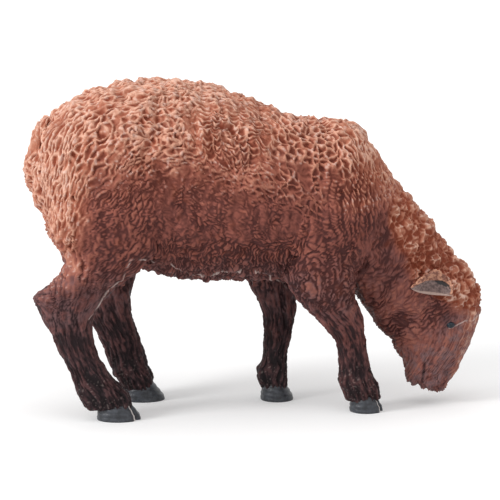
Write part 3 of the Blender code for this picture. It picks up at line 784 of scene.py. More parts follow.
# Ear sections from root to tip: distance along, width, thickness, how much of
# the cup's depth the section is moved by, and how far it leans to the rear rim
EAR_SHARES = (
    (0.00, 0.44, 1.15, 0.0, 0.00),
    (0.14, 0.72, 1.00, 0.5, 0.03),
    (0.34, 1.00, 0.82, 1.0, 0.05),
    (0.56, 0.98, 0.72, 0.9, 0.03),
    (0.78, 0.72, 0.64, 0.5, -0.02),
    (0.94, 0.36, 0.56, 0.1, -0.06),
    (1.00, 0.14, 0.46, 0.0, -0.08),
    (1.03, 0.03, 0.20, 0.0, -0.08),
)
# Tail sections from root to tip: distance down, how far aft, width, thickness
TAIL_SHARES = (
    (0.00, -0.95, 0.62, 0.60),
    (0.16, -0.45, 0.88, 0.85),
    (0.38, -0.10, 1.00, 1.00),
    (0.60, 0.10, 0.98, 1.00),
    (0.82, 0.04, 0.84, 0.90),
    (1.00, -0.26, 0.46, 0.50),
)
TAIL_ROOT_SHARE = 0.815

# The hind and the front legs' driving sizes, in mm
HIND_SIZES = {"reach": 20.0, "width": 9.8, "track": 7.9, "top": 10.7, "hoof_length": 8.6}
FRONT_SIZES = {"reach": 16.0, "width": 9.2, "track": 5.6, "top": 9.6, "hoof_length": 6.6}


@dataclass
class LegShape:
    """One leg's driving sizes, in mm.

    Attributes:
        node: the leg's node.
        side: the side of the animal that it is on.
        reach: the length that its sections' edges are shares of.
        width: the haunch's or shoulder's width.
        track: how far the hoof stands from the middle.
        top: how far the haunch's or shoulder's middle lies from the middle.
        hoof_length: from heel to toe.
        hoof_width: from side to side.
        hoof_height: from the ground to the coronet.
        cage_rise: how much higher than the solid its cage was.
    """

    node: str
    side: Side
    reach: float
    width: float
    track: float
    top: float
    hoof_length: float
    hoof_width: float = 6.4
    hoof_height: float = 4.0
    cage_rise: float = 0.13

    def __post_init__(self) -> None:
        """Find the height of the haunch or shoulder from the frame."""
        self.height = node_box(self.node)[1][2] + self.cage_rise

    def foot(self, build: Build) -> Array:
        """The middle of the sole."""
        along = build.rear + build.length * FOOT_PLACE_SHARES[self.node]
        return np.array((along, self.side.value * self.track, 0.0))

    def loft(self, build: Build) -> Loft:
        """The leg's loft, from level sections."""
        up, rear, front, out, width = np.array(LEG_SHARES[self.node]).T
        foot = self.foot(build)
        along = foot[0] + self.reach * (rear + front) / 2.0
        aside = foot[1] + (self.side.value * self.top - foot[1]) * out
        lengths, widths = self.reach * (front - rear) / 2.0, self.width / 2.0 * width
        return level_loft(np.stack((along, aside, self.height * up)), lengths, widths, (0.92, 1.0, 0.8))


def trunk_loft(build: Build) -> Loft:
    """The loft that runs from the rump along the back and neck to the lips."""
    tops = [build.trunk_point(row[0], row[1]) for row in TRUNK_SHARES]
    tops += [build.head_point(row[0], row[1]) for row in HEAD_SHARES]
    bottoms = [build.trunk_point(row[2], row[3]) for row in TRUNK_SHARES]
    bottoms += [build.head_point(row[2], row[3]) for row in HEAD_SHARES]
    widths = [build.width / 2.0 * row[4] for row in TRUNK_SHARES]
    widths += [build.head_width / 2.0 * row[4] for row in HEAD_SHARES]
    top, bottom = np.array(tops), np.array(bottoms)
    return Loft((top + bottom) / 2.0, (top - bottom) / 2.0, np.array(widths), start_dome=1.6, end_dome=1.2)


def leg_shapes() -> list[LegShape]:
    """The four legs, a side at a time and the hind one first."""
    pairs = (("hind", HIND_SIZES), ("front", FRONT_SIZES))
    return [
        LegShape(f"{pair}_leg_{side.name.lower()}", side, **sizes)
        for side in Side
        for pair, sizes in pairs
    ]


# Wool and hair


class Reading(Enum):
    """What the soft edge of a region of the body is measured by."""

    X = "mm along the ground from the middle"
    Z = "mm above the ground"
    LEVEL = "mm above the lower border of the pale fleece"
    PLACE = "section of the trunk's loft, counted from the rump"
    HIGH = "height in the section, 1 at its upper edge"
    SKYWARD = "how far the skin faces up, from -1 to 1"


X, Z, LEVEL, PLACE, HIGH, SKYWARD = Reading
Readings = dict[Reading, Array]
Edges = tuple[tuple[Reading, float, float], ...]

# Regions of the patterns. Each edge has its reading, where the region starts
# and where it is whole
UPPER = ((LEVEL, -12.0, -4.5),)
REAR = ((X, -27.0, -31.0), (Z, 22.0, 28.0))
CUPS = ((X, -15.0, -9.0), (X, 6.0, -1.0), (Z, 48.0, 53.0), (Z, 63.0, 58.5))
RIBS = ((X, -24.0, -20.0), (X, 14.0, 11.0), (Z, 35.0, 39.0), (LEVEL, -3.0, -7.0))
SHOULDER = ((X, 11.5, 14.0), (X, 24.0, 21.5), (Z, 33.0, 37.0), (Z, 50.0, 46.0))
WITHERS = ((X, 1.0, 5.0), (X, 29.0, 26.0), (Z, 42.0, 45.5))
HAUNCH = ((X, -17.0, -22.0), (LEVEL, -5.0, -8.0), (X, -36.0, -31.0))
LEGS = ((Z, 25.0, 19.0), (X, 28.0, 26.0))
NECK = ((PLACE, JOINT_PLACE - 0.6, JOINT_PLACE + 0.7), (X, 17.0, 20.0))
FACE = ((PLACE, JOINT_PLACE + 5.0, JOINT_PLACE + 6.6),)
NAPE_START = ((PLACE, JOINT_PLACE - 0.2, JOINT_PLACE + 0.8),)
# Regions of the lumps
LUMPY_BACK = ((Z, 46.0, 58.0),)
SMOOTH_LEGS = ((Z, 30.0, 16.0), (X, 28.0, 26.0))
SMOOTH_NECK = ((PLACE, JOINT_PLACE - 0.5, JOINT_PLACE + 1.0), (X, 17.0, 20.0))
ABOVE_THROAT = ((HIGH, -0.95, -0.6),)
THROAT = ((HIGH, -0.7, -0.98), (PLACE, JOINT_PLACE + 6.0, JOINT_PLACE + 4.5))
UNDERSIDE = ((SKYWARD, -0.1, -0.7),)
# Regions of the paint
FLECKED_SHANKS = ((Z, 12.0, 7.0), (X, 28.0, 26.0))
PALE_RUMP = ((X, -31.0, -37.5),)
GREY_FACE = ((PLACE, JOINT_PLACE + 5.2, JOINT_PLACE + 7.2),)
MUZZLE = ((PLACE, JOINT_PLACE + 7.6, JOINT_PLACE + 9.4),)
BROW = ((HIGH, 0.25, 0.8), (PLACE, JOINT_PLACE + 4.6, JOINT_PLACE + 5.8))
BRISKET = ((X, 6.0, 12.0), (Z, 34.0, 28.0), (Z, -8.0, 16.0))
CROWN = ((X, 12.0, 20.0), (SKYWARD, 0.05, 0.5), (Z, 32.0, 40.0))
GREY_LEGS = ((Z, 34.0, 28.0), (Z, 14.0, 22.0))

# Lines that are read between knots: the knots' places, then their values.
# How high the pale upper fleece reaches down, along the body, in mm
BORDER_LINE = ((-40.0, -26.0, -12.0, -4.0, 6.0, 18.0), (50.0, 54.5, 53.5, 50.0, 46.0, 45.0))
# How the net leans on the back and on the flank, along the body, in degrees
BACK_LEAN = ((-42.0, -38.0, -32.0, -24.0, -14.0, 4.0, 22.0), (80.0, 62.0, 38.0, 18.0, 2.0, -10.0, -34.0))
FLANK_LEAN = ((-42.0, -37.0, -31.0, -22.0, -12.0, 8.0), (88.0, 76.0, 58.0, 36.0, 4.0, -6.0))
# How far down in its section the nape's wool reaches, by section
NAPE_LINE = ((12.0, 13.0, 17.0, 18.0, 19.0, 20.0), (0.50, 0.15, 0.10, 0.45, 0.85, 1.3))
# The paint's tone by height above the ground, darker towards the bottom: mostly
# the toy's own paint, and on the lower body also painted shade
TONE_LINE = (
    (0.0, 12.0, 20.0, 27.0, 34.0, 42.0, 50.0, 57.0, 64.0),
    (0.0, 0.07, 0.22, 0.39, 0.48, 0.55, 0.68, 0.86, 1.0),
)
# Where the mould's flash runs, in the side view: X and Z in mm
FLASH_LINES = (
    ((-3.7, 29.1), (-9.3, 28.0), (-12.9, 28.4), (-15.8, 30.1), (-18.9, 31.4), (-25.0, 32.8)),
    ((-25.0, 32.8), (-26.9, 29.0), (-30.0, 25.2), (-32.9, 20.4)),
    ((-0.8, 29.2), (3.2, 26.3), (7.5, 22.0)),
    ((37.9, 16.5), (38.7, 16.5), (39.7, 17.1), (40.6, 17.6), (42.6, 17.4), (43.6, 17.9)),
)


def covered(readings: Readings, edges: Edges) -> Array:
    """How far points lie inside a region: the product of a step for each edge."""
    return np.prod([smooth(readings[reading], start, whole) for reading, start, whole in edges], axis=0)


def patchy(points: Array, size: float, salt: int, mean: float, swing: float, least: float = 0.0) -> Array:
    """A share that comes and goes: mean + swing noise, from least to 1."""
    return np.clip(mean + swing * cloud(points, size, salt), least, 1.0)


@dataclass
class Coat:
    """What the wool and hair do at each point of the skin.

    Attributes:
        height: how far the point is raised, in mm.
        relief: from -1 in the pits to 1 on the crests, for the paint.
        tone: the paint's place between the dark legs, 0, and the back, 1; low on the body it holds painted
            shade too.
        dry: how much of the pale dry-brushing the crests take.
        ash: how far the paint is greyed.
        flash: how far it is near-white: rubbed flash, and painted highlights on crest tips.
    """

    height: Array
    relief: Array
    tone: Array
    dry: Array
    ash: Array
    flash: Array


@dataclass
class Patch:
    """Points of the skin, with what the wool's patterns read there.

    Attributes:
        points: places in mm.
        normals: outward unit vectors.
        place: the section of the trunk's loft, counted from the rump.
        high: how high in the section, 1 at its upper edge.
        flat: mm along the body, and mm round it from the back's ridge.
        warp: soft noise, of three numbers.
        shank: offsets from the nearest leg's middle line, and the height.
        forward: unit vectors along the body in the skin.
    """

    points: Array
    normals: Array
    place: Array
    high: Array
    flat: Array
    warp: Array
    shank: Array
    forward: Array

    def only(self, chosen: Array) -> "Patch":
        """The chosen points alone."""
        return Patch(*(getattr(self, one.name)[chosen] for one in fields(self)))

    def readings(self, shake: float) -> Readings:
        """What regions are measured by, with noise that makes their edges uneven."""
        x, _, z = (self.points + shake * self.warp).T
        level = z - np.interp(x, *BORDER_LINE)
        return dict(zip(Reading, (x, z, level, self.place, self.high, self.normals[:, 2])))

    def headed(self, degrees: Array | float) -> Array:
        """A heading of the side view, as unit vectors in along and around."""
        turn = np.radians(degrees) + np.zeros(len(self.points))
        heading = np.stack((np.cos(turn), np.zeros(len(turn)), np.sin(turn)), axis=-1)
        across = np.cross(self.normals, self.forward)
        return unit(np.stack((dot(heading, self.forward), dot(heading, across)), axis=-1))

    def nape(self) -> Array:
        """1 on the woolly nape and brow, 0 on the side of the neck and the face."""
        edge = self.high + 0.2 * self.warp[:, 0] - np.interp(self.place, *NAPE_LINE)
        return smooth(edge, -0.12, 0.16) * covered(self.readings(0.0), NAPE_START)


@dataclass(frozen=True)
class Curls:
    """Packed curls, each a dome 1 - e^-(w / groove)^2 with fine strands.

    With w the distance to the wall and v that across from the seed, the
    strands are a cosine of v.

    Attributes:
        pitch: size of a curl, in mm.
        stretch: how much longer than wide it is, as a square root.
        groove: half width of the grooves between curls, in mm.
        lean: the curls' mean heading, in degrees from X up.
        sway: how far the heading strays from it, in degrees.
        sway_size: over how many mm it strays.
        sway_salt: picks how it strays.
        salt: picks the pattern.
        strand: the strands' radians in a cell.
    """

    pitch: float
    stretch: float
    groove: float
    lean: float
    sway: float
    sway_size: float
    sway_salt: int
    salt: int
    strand: float = 12.0

    def heading(self, points: Array) -> Array:
        """The curls' heading at points, in degrees."""
        return self.lean + self.sway * cloud(points, self.sway_size, self.sway_salt)

    def heights(self, flat: Array, way: Array) -> Array:
        """Work out the curls in a plane.

        Args:
            flat: places in the plane, in mm.
            way: unit vectors there along the curls.

        Returns:
            Heights from -1 in the grooves to 1 on the crests.
        """
        level, wall, _, owner = leaning_cells(flat / self.pitch, way, self.stretch, self.salt)
        dome = 1.0 - bell(wall * self.pitch, self.groove)
        strand = np.cos(self.strand * level + FULL_TURN * owner)
        return np.clip(dome * (1.15 + 0.6 * owner + 0.3 * strand) - 0.95, -1.0, 1.0)


@dataclass(frozen=True)
class Net:
    """Crests that meet round dark pits: the walls of leaning cells.

    With w the distance to the wall, a crest is e^-(w / thick)^2, and the pit
    is deepest right under the crest above it. Walls across the heading sink
    by 1 - keep, and soft noise breaks holes in the net. Where a value has two
    numbers, they hold in the net's upper part and in its lower part.

    Attributes:
        pitch: size of the cells, in mm.
        stretch: how much longer than wide a cell is, as a square root.
        thick: half width of the crests, in mm.
        keep: how much is left of the walls across the heading, 0 to 1.
        holes: how much of the net is broken away, 0 to 1.
        salt: picks the pattern.
    """

    pitch: float
    stretch: float
    thick: tuple[float, float]
    keep: tuple[float, float]
    holes: tuple[float, float]
    salt: int

    def heights(self, flat: Array, way: Array, lower: Array | float = 0.0) -> Array:
        """Work out the net along and round the body.

        Args:
            flat: mm along the body and round it.
            way: unit vectors there along the cells.
            lower: 0 in the upper part, 1 in the lower part.

        Returns:
            Heights from -1 in the pits to 1 on the crests.
        """
        thick, keep, holes = (
            above + (below - above) * lower for above, below in (self.thick, self.keep, self.holes)
        )
        lattice = flat / self.pitch
        level, wall, lies, owner = leaning_cells(lattice, way, self.stretch, self.salt)
        wall = wall * self.pitch
        broken = smooth(cloud(lattice, 1.3, self.salt + 11) + 2.0 * holes - 1.0, -0.5, 0.3)
        there = (keep + (1.0 - keep) * smooth(lies, 0.30, 0.62)) * (1.0 - broken)
        crest = there * bell(wall, thick * (0.85 + 0.4 * owner))
        # The pit is deepest under each crest, in the relief and so in the paint, as painted shade.
        under = np.clip(level * -np.sign(flat[:, 1] + 1e-9) / 0.35, -1.0, 1.0)
        depth = (0.72 + 0.22 * under + 0.25 * (owner - 0.5)) * (1.0 - 0.55 * broken)
        floor = -depth * (1.0 - bell(wall, 1.5 * thick))
        return np.clip(floor + crest * (1.0 - floor), -1.0, 1.0)


@dataclass(frozen=True)
class Columns:
    """Uneven columns down the body, which may hold stacked arcs.

    Attributes:
        width: of a column, in mm.
        salt: picks the pattern.
        pitch: from arc to arc, in mm, which each column strays from.
        sag: how far an arc hangs in its middle.
        tilt: how far arcs lean across a column at most.
        thick: half width of an arc's line, as a share of the pitch.
    """

    width: float
    salt: int
    pitch: float = 1.0
    sag: float = 0.0
    tilt: float = 0.45
    thick: float = 0.22

    def edge(self, column: Array) -> Array:
        """Where a column starts, counted in columns: it strays by a quarter."""
        return column + 0.5 * (drawn(column, self.salt) - 0.5)

    def spread(self, run: Array) -> tuple[Array, Array, Array]:
        """The column's number, the share across it, and mm to its border."""
        run = run / self.width
        column = np.floor(run)
        column = np.where(run < self.edge(column), column - 1.0, column)
        left, right = self.edge(column), self.edge(column + 1.0)
        part = np.clip((run - left) / np.maximum(right - left, 0.2), 0.0, 1.0) - 0.5
        return column, part, (0.5 - np.abs(part)) * (right - left) * self.width

    def arcs(self, flat: Array) -> tuple[Array, Array, Array]:
        """Arcs stacked in the columns, each a line e^-(phase / thick)^2.

        Args:
            flat: mm along the body and round it.

        Returns:
            The arcs from 0 to 1, the share across the column and mm to its border.
        """
        column, part, border = self.spread(flat[:, 0])
        own = drawn(column, self.salt + 1)
        lean = 2.0 * self.tilt * (drawn(column, self.salt + 2) - 0.5)
        hang = self.sag * (1.0 - 4.0 * part**2) + lean * part
        phase = (np.abs(flat[:, 1]) - hang) / (self.pitch * (0.85 + 0.3 * own)) + own
        bar = np.round(phase)
        there = smooth(drawn(column, self.salt + 3, bar), 0.0, 0.2)
        return bell(phase - bar, self.thick) * there, part, border


@dataclass(frozen=True)
class Dashes:
    """Short crests strewn at random, each an arc with its own spot and lean.

    With u and v along and across it from its spot, t its lean and c its sag,
    a crest is e^-((u / a)^4 + ((v - t u - c u^2) / b)^2).

    Attributes:
        spacing: between crests, along and across, in mm.
        size: a and b, in mm.
        lean: how far the lean strays to both sides.
        odds: the share of the places that hold a crest.
        salt: picks the pattern.
    """

    spacing: tuple[float, float] = (2.3, 1.2)
    size: tuple[float, float] = (0.9, 0.15)
    lean: float = 0.4
    odds: float = 0.4
    salt: int = 91

    def heights(self, flat: Array) -> Array:
        """Heights from 0 between the crests to 1 on them, for mm along and across."""
        step = np.array(self.spacing)
        lattice = flat / step
        base = np.floor(lattice)
        crest = np.zeros(len(flat))
        for shift in itertools.product((-1, 0, 1), repeat=2):
            cell = base + np.array(shift)
            own = [chance(cell, self.salt + number) for number in range(5)]
            u, v = ((lattice - cell - np.stack(own[:2], axis=-1)) * step).T
            bow = v - self.lean * (2.0 * own[2] - 1.0) * u - (own[3] - 0.5) * 0.9 * u * u
            there = smooth(own[4], 1.0 - self.odds, 1.15 - self.odds)
            crest = np.maximum(crest, there * np.exp(-((u / self.size[0]) ** 4 + (bow / self.size[1]) ** 2)))
        return crest


BACK_NET = Net(pitch=1.3, stretch=1.4, thick=(0.31, 0.19), keep=(0.6, 0.1), holes=(0.05, 0.27), salt=21)
RUMP_NET = Net(pitch=1.69, stretch=1.45, thick=(0.30, 0.30), keep=(0.7, 0.7), holes=(0.10, 0.10), salt=26)
WITHERS_NET = Net(pitch=1.45, stretch=1.12, thick=(0.24, 0.19), keep=(0.9, 0.9), holes=(0.08, 0.30), salt=25)
BARS = Curls(1.0, 1.5, 0.24, lean=4.0, sway=14.0, sway_size=2.2, sway_salt=59, salt=56)
WORMS = Curls(1.1, 1.9, 0.24, lean=22.0, sway=60.0, sway_size=3.6, sway_salt=75, salt=71)
STROKES = Curls(1.15, 1.7, 0.26, lean=50.0, sway=60.0, sway_size=3.0, sway_salt=82, salt=85)
NECK_WORMS = Curls(1.3, 1.9, 0.28, lean=26.0, sway=55.0, sway_size=3.4, sway_salt=112, salt=111)
CUP_COLUMNS = Columns(2.0, 31, pitch=0.8, sag=0.75)
RIB_COLUMNS = Columns(1.9, 53)
KNOT_COLUMNS = Columns(1.5, 64, pitch=0.85, sag=0.3)
# The lattice of the neck's broad folds: how X and Z count towards its two axes
FOLD_LATTICE = ((0.16, -0.38), (0.14, 0.34))


def streaks(lattice: Array, salt: int) -> Array:
    """Fine hair: noise on a stretched lattice, with its half and quarter sizes."""
    value = cloud(lattice, 1.0, salt) + 0.8 * cloud(lattice * 2.1, 1.0, salt + 1)
    return np.tanh(1.5 * value + 0.5 * cloud(lattice * 4.3, 1.0, salt + 2))


@dataclass(frozen=True)
class PaintAndShade:
    """How the paint is laid: pale above and behind, dark below, partly as painted shade.

    Attributes:
        rump_tone: what the rump adds to the tone that goes by height.
        neck_tone: the side of the neck's own tone.
        face_tone: what the face adds to it, as the next three do.
        muzzle_tone: the muzzle.
        nape_tone: the nape.
        brow_tone: the brow.
        brisket_tone: what the front of the chest adds.
        crown_tone: what the top of the neck's base adds.
        neck_ash: how far the neck is greyed.
        leg_ash: how far the upper legs are.
    """

    rump_tone: float = 0.34
    neck_tone: float = 0.48
    face_tone: float = 0.08
    muzzle_tone: float = -0.10
    nape_tone: float = 0.44
    brow_tone: float = 0.38
    brisket_tone: float = 0.12
    crown_tone: float = 0.22
    neck_ash: float = 0.25
    leg_ash: float = 0.5

    def lay(self, patch: Patch) -> tuple[Array, Array, Array]:
        """Work out the paint.

        Args:
            patch: the points.

        Returns:
            The tone, the dry-brushing and the greying, each from 0 to 1.
        """
        read = patch.readings(1.6)
        z = read[Z]
        neck, face, muzzle = (covered(read, edges) for edges in (NECK, GREY_FACE, MUZZLE))
        rump, crown = covered(read, PALE_RUMP), covered(read, CROWN)
        nape, brow = neck * patch.nape(), neck * covered(read, BROW)
        head_tone = self.neck_tone + self.face_tone * face + self.muzzle_tone * muzzle
        head_tone = head_tone + self.nape_tone * nape + self.brow_tone * brow
        # Darker towards the bottom: the toy's own paint, and painted shade on the lower body.
        tone = np.interp(z, *TONE_LINE) + self.rump_tone * rump * smooth(z, 24.0, 40.0)
        tone = tone * (1.0 - neck) + head_tone * neck
        tone = tone + self.brisket_tone * (1.0 - neck) * covered(read, BRISKET) + self.crown_tone * crown
        dry = smooth(z, 46.0, 58.0) + 0.35 * smooth(z, 34.0, 48.0) + 0.75 * rump * smooth(z, 18.0, 34.0)
        dry = np.maximum(dry * (1.0 - neck) + 0.7 * crown, neck * (0.8 * nape + 0.9 * brow))
        # Skin that faces up takes more of the pale brushing.
        dry = dry * (0.55 + 0.45 * smooth(read[SKYWARD], -0.4, 0.3))
        ash = neck * np.clip(self.neck_ash + 0.75 * face - 0.5 * nape, 0.0, 1.0)
        ash = ash + (1.0 - neck) * self.leg_ash * covered(read, GREY_LEGS)
        return np.clip(tone, 0.0, 1.0), np.clip(dry, 0.0, 1.0), np.clip(ash, 0.0, 1.0)


@dataclass
class Wool:
    """The moulded wool and hair, told by where on the body a point lies.

    Attributes:
        trunk: the loft that gives places along and round the body.
        legs: the legs' lofts, which the hair runs down.
        wash: how the paint is laid, with the painted shade low on the body.
        lump: size of the wool's lumps, in mm.
        lump_rise: how far they stand out.
        knob: size of the nape's knobs.
        tuft: size of the broad tufts, which the solids share.
        tuft_rise: how much higher a tuft's middle is for each tuft size away.
        tuft_middle: where a tuft crosses the mean surface, in tuft sizes.
        swell_rise: height of the broad unevenness, in mm.
        grain_rise: height of the finest grain, in mm.
        seam: half width of the flash lines, in mm.
        seam_rise: how far they stand out.
    """

    trunk: Loft
    legs: list[Loft]
    wash: PaintAndShade = PaintAndShade()
    lump: float = 2.7
    lump_rise: float = 0.8
    knob: float = 2.6
    tuft: float = 5.4
    tuft_rise: float = 1.3
    tuft_middle: float = 0.55
    swell_rise: float = 0.14
    grain_rise: float = 0.045
    seam: float = 0.09
    seam_rise: float = 0.12

    def __post_init__(self) -> None:
        """Measure the way along the back and along the belly."""
        middles, ups = self.trunk.plane_centres, self.trunk.plane_ups
        steps = [np.linalg.norm(np.diff(edge, axis=0), axis=-1) for edge in (middles + ups, middles - ups)]
        self.top_run, self.low_run = (np.concatenate(([0.0], np.cumsum(step))) for step in steps)

    def shank(self, points: Array) -> Array:
        """Offsets from the middle line of the leg that is nearest, and the height."""
        best = np.full(len(points), np.inf)
        offset = np.zeros((len(points), 2))
        for leg in self.legs:
            line = [np.interp(points[:, 2], leg.centres[::-1, 2], leg.centres[::-1, axis]) for axis in (0, 1)]
            away = points[:, :2] - np.stack(line, axis=-1)
            far = (away**2).sum(axis=-1)
            closer = far < best
            offset[closer] = away[closer]
            best = np.minimum(best, far)
        return np.column_stack((offset, points[:, 2]))

    def survey(self, points: Array, normals: Array, legged: bool) -> Patch:
        """Work out what the patterns read.

        The way along the body is read on the belly's line and on the back's,
        and shared out between them by height. Where legged, no place counts
        as the neck's, so that its patterns stay off the legs.

        Args:
            points: places on the skin, in mm.
            normals: outward unit vectors.
            legged: whether it is a leg's skin.

        Returns:
            The points with their readings.
        """
        spot = self.trunk.locate(points)
        places = self.trunk.plane_places
        top = np.interp(spot.place, places, self.top_run)
        low = np.interp(spot.place, places, self.low_run)
        share = (np.clip(spot.high, -1.0, 1.0) + 1.0) / 2.0
        tall = np.interp(spot.place, places, np.linalg.norm(self.trunk.plane_ups, axis=-1))
        radius = (tall + np.interp(spot.place, places, self.trunk.plane_sides)) / 2.0
        warp = clouds(points, 2.4, 11, 12, 13)
        shake = np.array((0.6, 0.5)) * warp[:, :2] + np.array((1.2, 1.0)) * clouds(points, 7.0, 14, 15)
        inward = 1.0 - np.minimum(np.hypot(spot.wide, spot.high), 1.0)
        along = low + (top - low) * share - 6.0 * inward * (spot.place < 0.5)
        around = np.arctan2(spot.wide, spot.high) * radius
        flat = np.stack((along, around), axis=-1) + shake + 0.4 * clouds(points, 0.85, 16, 17)
        plane = np.clip((spot.place * PLANES_PER_SECTION).astype(int), 0, len(self.trunk.facings) - 1)
        facing = self.trunk.facings[plane]
        forward = unit(facing - normals * dot(facing, normals)[:, None])
        own = legged * smooth(points[:, 2], 28.0, 22.0)
        place = spot.place - own * np.maximum(spot.place - JOINT_PLACE + 1.0, 0.0)
        return Patch(points, normals, place, spot.high, flat, warp, self.shank(points), forward)

    def fleece(self, patch: Patch) -> Array:
        """The net on the back and the rump, open above and broken below."""
        read = patch.readings(0.0)
        side, top = (np.interp(read[X], *line) for line in (FLANK_LEAN, BACK_LEAN))
        way = patch.headed(side + (top - side) * smooth(read[Z], 48.0, 58.0))
        back = BACK_NET.heights(patch.flat, way, smooth(read[LEVEL], 1.0, -7.0))
        rump = RUMP_NET.heights(patch.flat, way)
        return back + (rump - back) * smooth(read[X], -24.0, -30.0)

    def withers_net(self, patch: Patch) -> Array:
        """The open net before the shoulder, its rhombic pits upright."""
        return WITHERS_NET.heights(patch.flat, patch.headed(78.0), smooth(patch.points[:, 2], 54.0, 46.0))

    def scallops(self, patch: Patch) -> Array:
        """Stacked cups below the back: arcs that sag between knotted ribs."""
        arc, _, border = CUP_COLUMNS.arcs(patch.flat)
        rib = bell(border, 0.24) * patchy(patch.points, 0.9, 35, 0.6, 0.7)
        return 1.6 * np.maximum(arc, rib) - 0.65

    def ladder(self, patch: Patch) -> Array:
        """Short level bars down the ribs, in uneven columns parted by grooves."""
        border = RIB_COLUMNS.spread(patch.flat[:, 0])[2]
        bars = BARS.heights(patch.flat, patch.headed(BARS.heading(patch.points)))
        kept = patchy(patch.points / np.array((1.6, 1.6, 4.5)), 1.0, 60, 0.8, 0.9, 0.25)
        groove = bell(border, 0.36) * patchy(patch.points, 2.4, 61, 0.9, 0.6)
        return (bars + 0.1) * kept * (1.0 - groove) - 0.55 * groove

    def shoulder(self, patch: Patch) -> Array:
        """Columns of knots with deep grooves between them."""
        arc, part, border = KNOT_COLUMNS.arcs(patch.flat)
        groove = bell(border, 0.30) * patchy(patch.points, 2.0, 70, 0.8, 0.5)
        return 1.3 * (arc - 0.3) * smooth(np.abs(part), 0.5, 0.25) - 0.95 * groove

    def noodles(self, patch: Patch) -> Array:
        """Curled worms low on the flank, which hang straight under the belly."""
        under = smooth(-patch.normals[:, 2], 0.2, 0.6)
        lean = WORMS.heading(patch.points) * (1.0 - under) + 80.0 * under
        return WORMS.heights(patch.flat, patch.headed(lean))

    def haunch(self, patch: Patch) -> Array:
        """Crests and hair that rise forwards over the haunch."""
        x, _, z = patch.points.T
        rising = np.stack((0.66 * x + 0.75 * z, 0.75 * x - 0.66 * z), axis=-1) + 0.6 * patch.warp[:, :2]
        strokes = STROKES.heights(patch.flat, patch.headed(STROKES.heading(patch.points)))
        return 0.85 * strokes + 0.5 * Dashes().heights(rising)

    def leg_hair(self, patch: Patch) -> Array:
        """Straight hair down the legs, in locks."""
        line = patch.shank + np.array((0.35, 0.35, 0.9)) * patch.warp
        locks = cloud(line / np.array((1.2, 1.2, 2.6)), 1.0, 108)
        return np.clip(0.9 * streaks(line / np.array((0.5, 0.5, 2.0)), 101) + 0.5 * locks, -1.0, 1.0)

    def neck_folds(self, patch: Patch) -> Array:
        """Folded wool on the side of the neck and on the cheek."""
        steep = smooth(patch.points[:, 2], 27.0, 36.0)
        turn = np.radians(NECK_WORMS.heading(patch.points) + 38.0 * steep)
        flat = patch.points[:, [0, 2]] + 0.7 * patch.warp[:, :2] + 0.35 * clouds(patch.points, 0.85, 113, 114)
        worms = NECK_WORMS.heights(flat, np.stack((np.cos(turn), np.sin(turn)), axis=-1))
        folds = cloud(flat @ np.array(FOLD_LATTICE), 1.0, 116)
        cheek = smooth(patch.place, JOINT_PLACE + 2.6, JOINT_PLACE + 4.2)
        return np.clip((0.55 + 0.3 * cheek) * worms + 0.75 * folds + 0.12, -1.0, 1.0)

    def face_hair(self, patch: Patch) -> Array:
        """Short fine hair down the face."""
        return 0.6 * streaks(patch.flat / np.array((0.8, 0.3)), 121) + 0.1

    def knobs(self, patch: Patch) -> tuple[Array, Array, Array]:
        """The nape's knobs of wool, as cells in space."""
        return cells((patch.points + 0.6 * patch.warp) / self.knob, 0.8, 131)

    def locks(self, patch: Patch) -> Array:
        """Knobs of wool on the nape, parted by dark clefts and netted with crests."""
        near, wall, _ = self.knobs(patch)
        shaken = patch.points + 0.3 * clouds(patch.points, 0.8, 136, 137, 138)
        _, edge, owner = cells(shaken / np.array((1.5, 1.5, 1.0)), 0.9, 135)
        crest = bell(edge, 0.13 + 0.07 * owner) * patchy(patch.points, 0.9, 139, 1.0, 0.8, 0.3)
        return np.clip(1.3 * crest - 0.1 - 0.25 * near - 0.4 * owner - 0.8 * bell(wall, 0.2), -1.0, 1.0)

    def regions(self, patch: Patch) -> list[tuple[Array, float, Callable[[Patch], Array]]]:
        """Where each pattern lies, how high it is, and its function.

        Args:
            patch: the points.

        Returns:
            Each pattern's cover, from 0 to 1, its rise in mm and its function.
            A later one lies over an earlier one.
        """
        read = patch.readings(1.8)
        upper = np.maximum(covered(read, UPPER), covered(read, REAR))
        torn = smooth(cloud(patch.points, 3.2, 161), -0.75, -0.05)
        neck = covered(read, NECK)
        return [
            (np.ones(len(neck)), 0.26, self.noodles),
            (upper, 0.35, self.fleece),
            (covered(read, RIBS), 0.28, self.ladder),
            (covered(read, WITHERS), 0.32, self.withers_net),
            (torn * covered(read, CUPS), 0.34, self.scallops),
            (covered(read, SHOULDER), 0.30, self.shoulder),
            (covered(read, HAUNCH), 0.24, self.haunch),
            (covered(read, LEGS), 0.28, self.leg_hair),
            (neck, 0.30, self.neck_folds),
            (neck * covered(read, FACE), 0.10, self.face_hair),
            (neck * patch.nape(), 0.36, self.locks),
        ]

    def pattern(self, patch: Patch) -> tuple[Array, Array]:
        """Relief and height of the patterns, each worked out only where it shows."""
        left = np.ones(len(patch.points))
        relief, height = np.zeros(len(left)), np.zeros(len(left))
        for cover, rise, pattern in reversed(self.regions(patch)):
            weight = left * cover
            left = left * (1.0 - cover)
            shown = weight > 0.004
            if shown.any():
                value = pattern(patch.only(shown)) * weight[shown]
                relief[shown] += value
                height[shown] += rise * value
        return relief, height

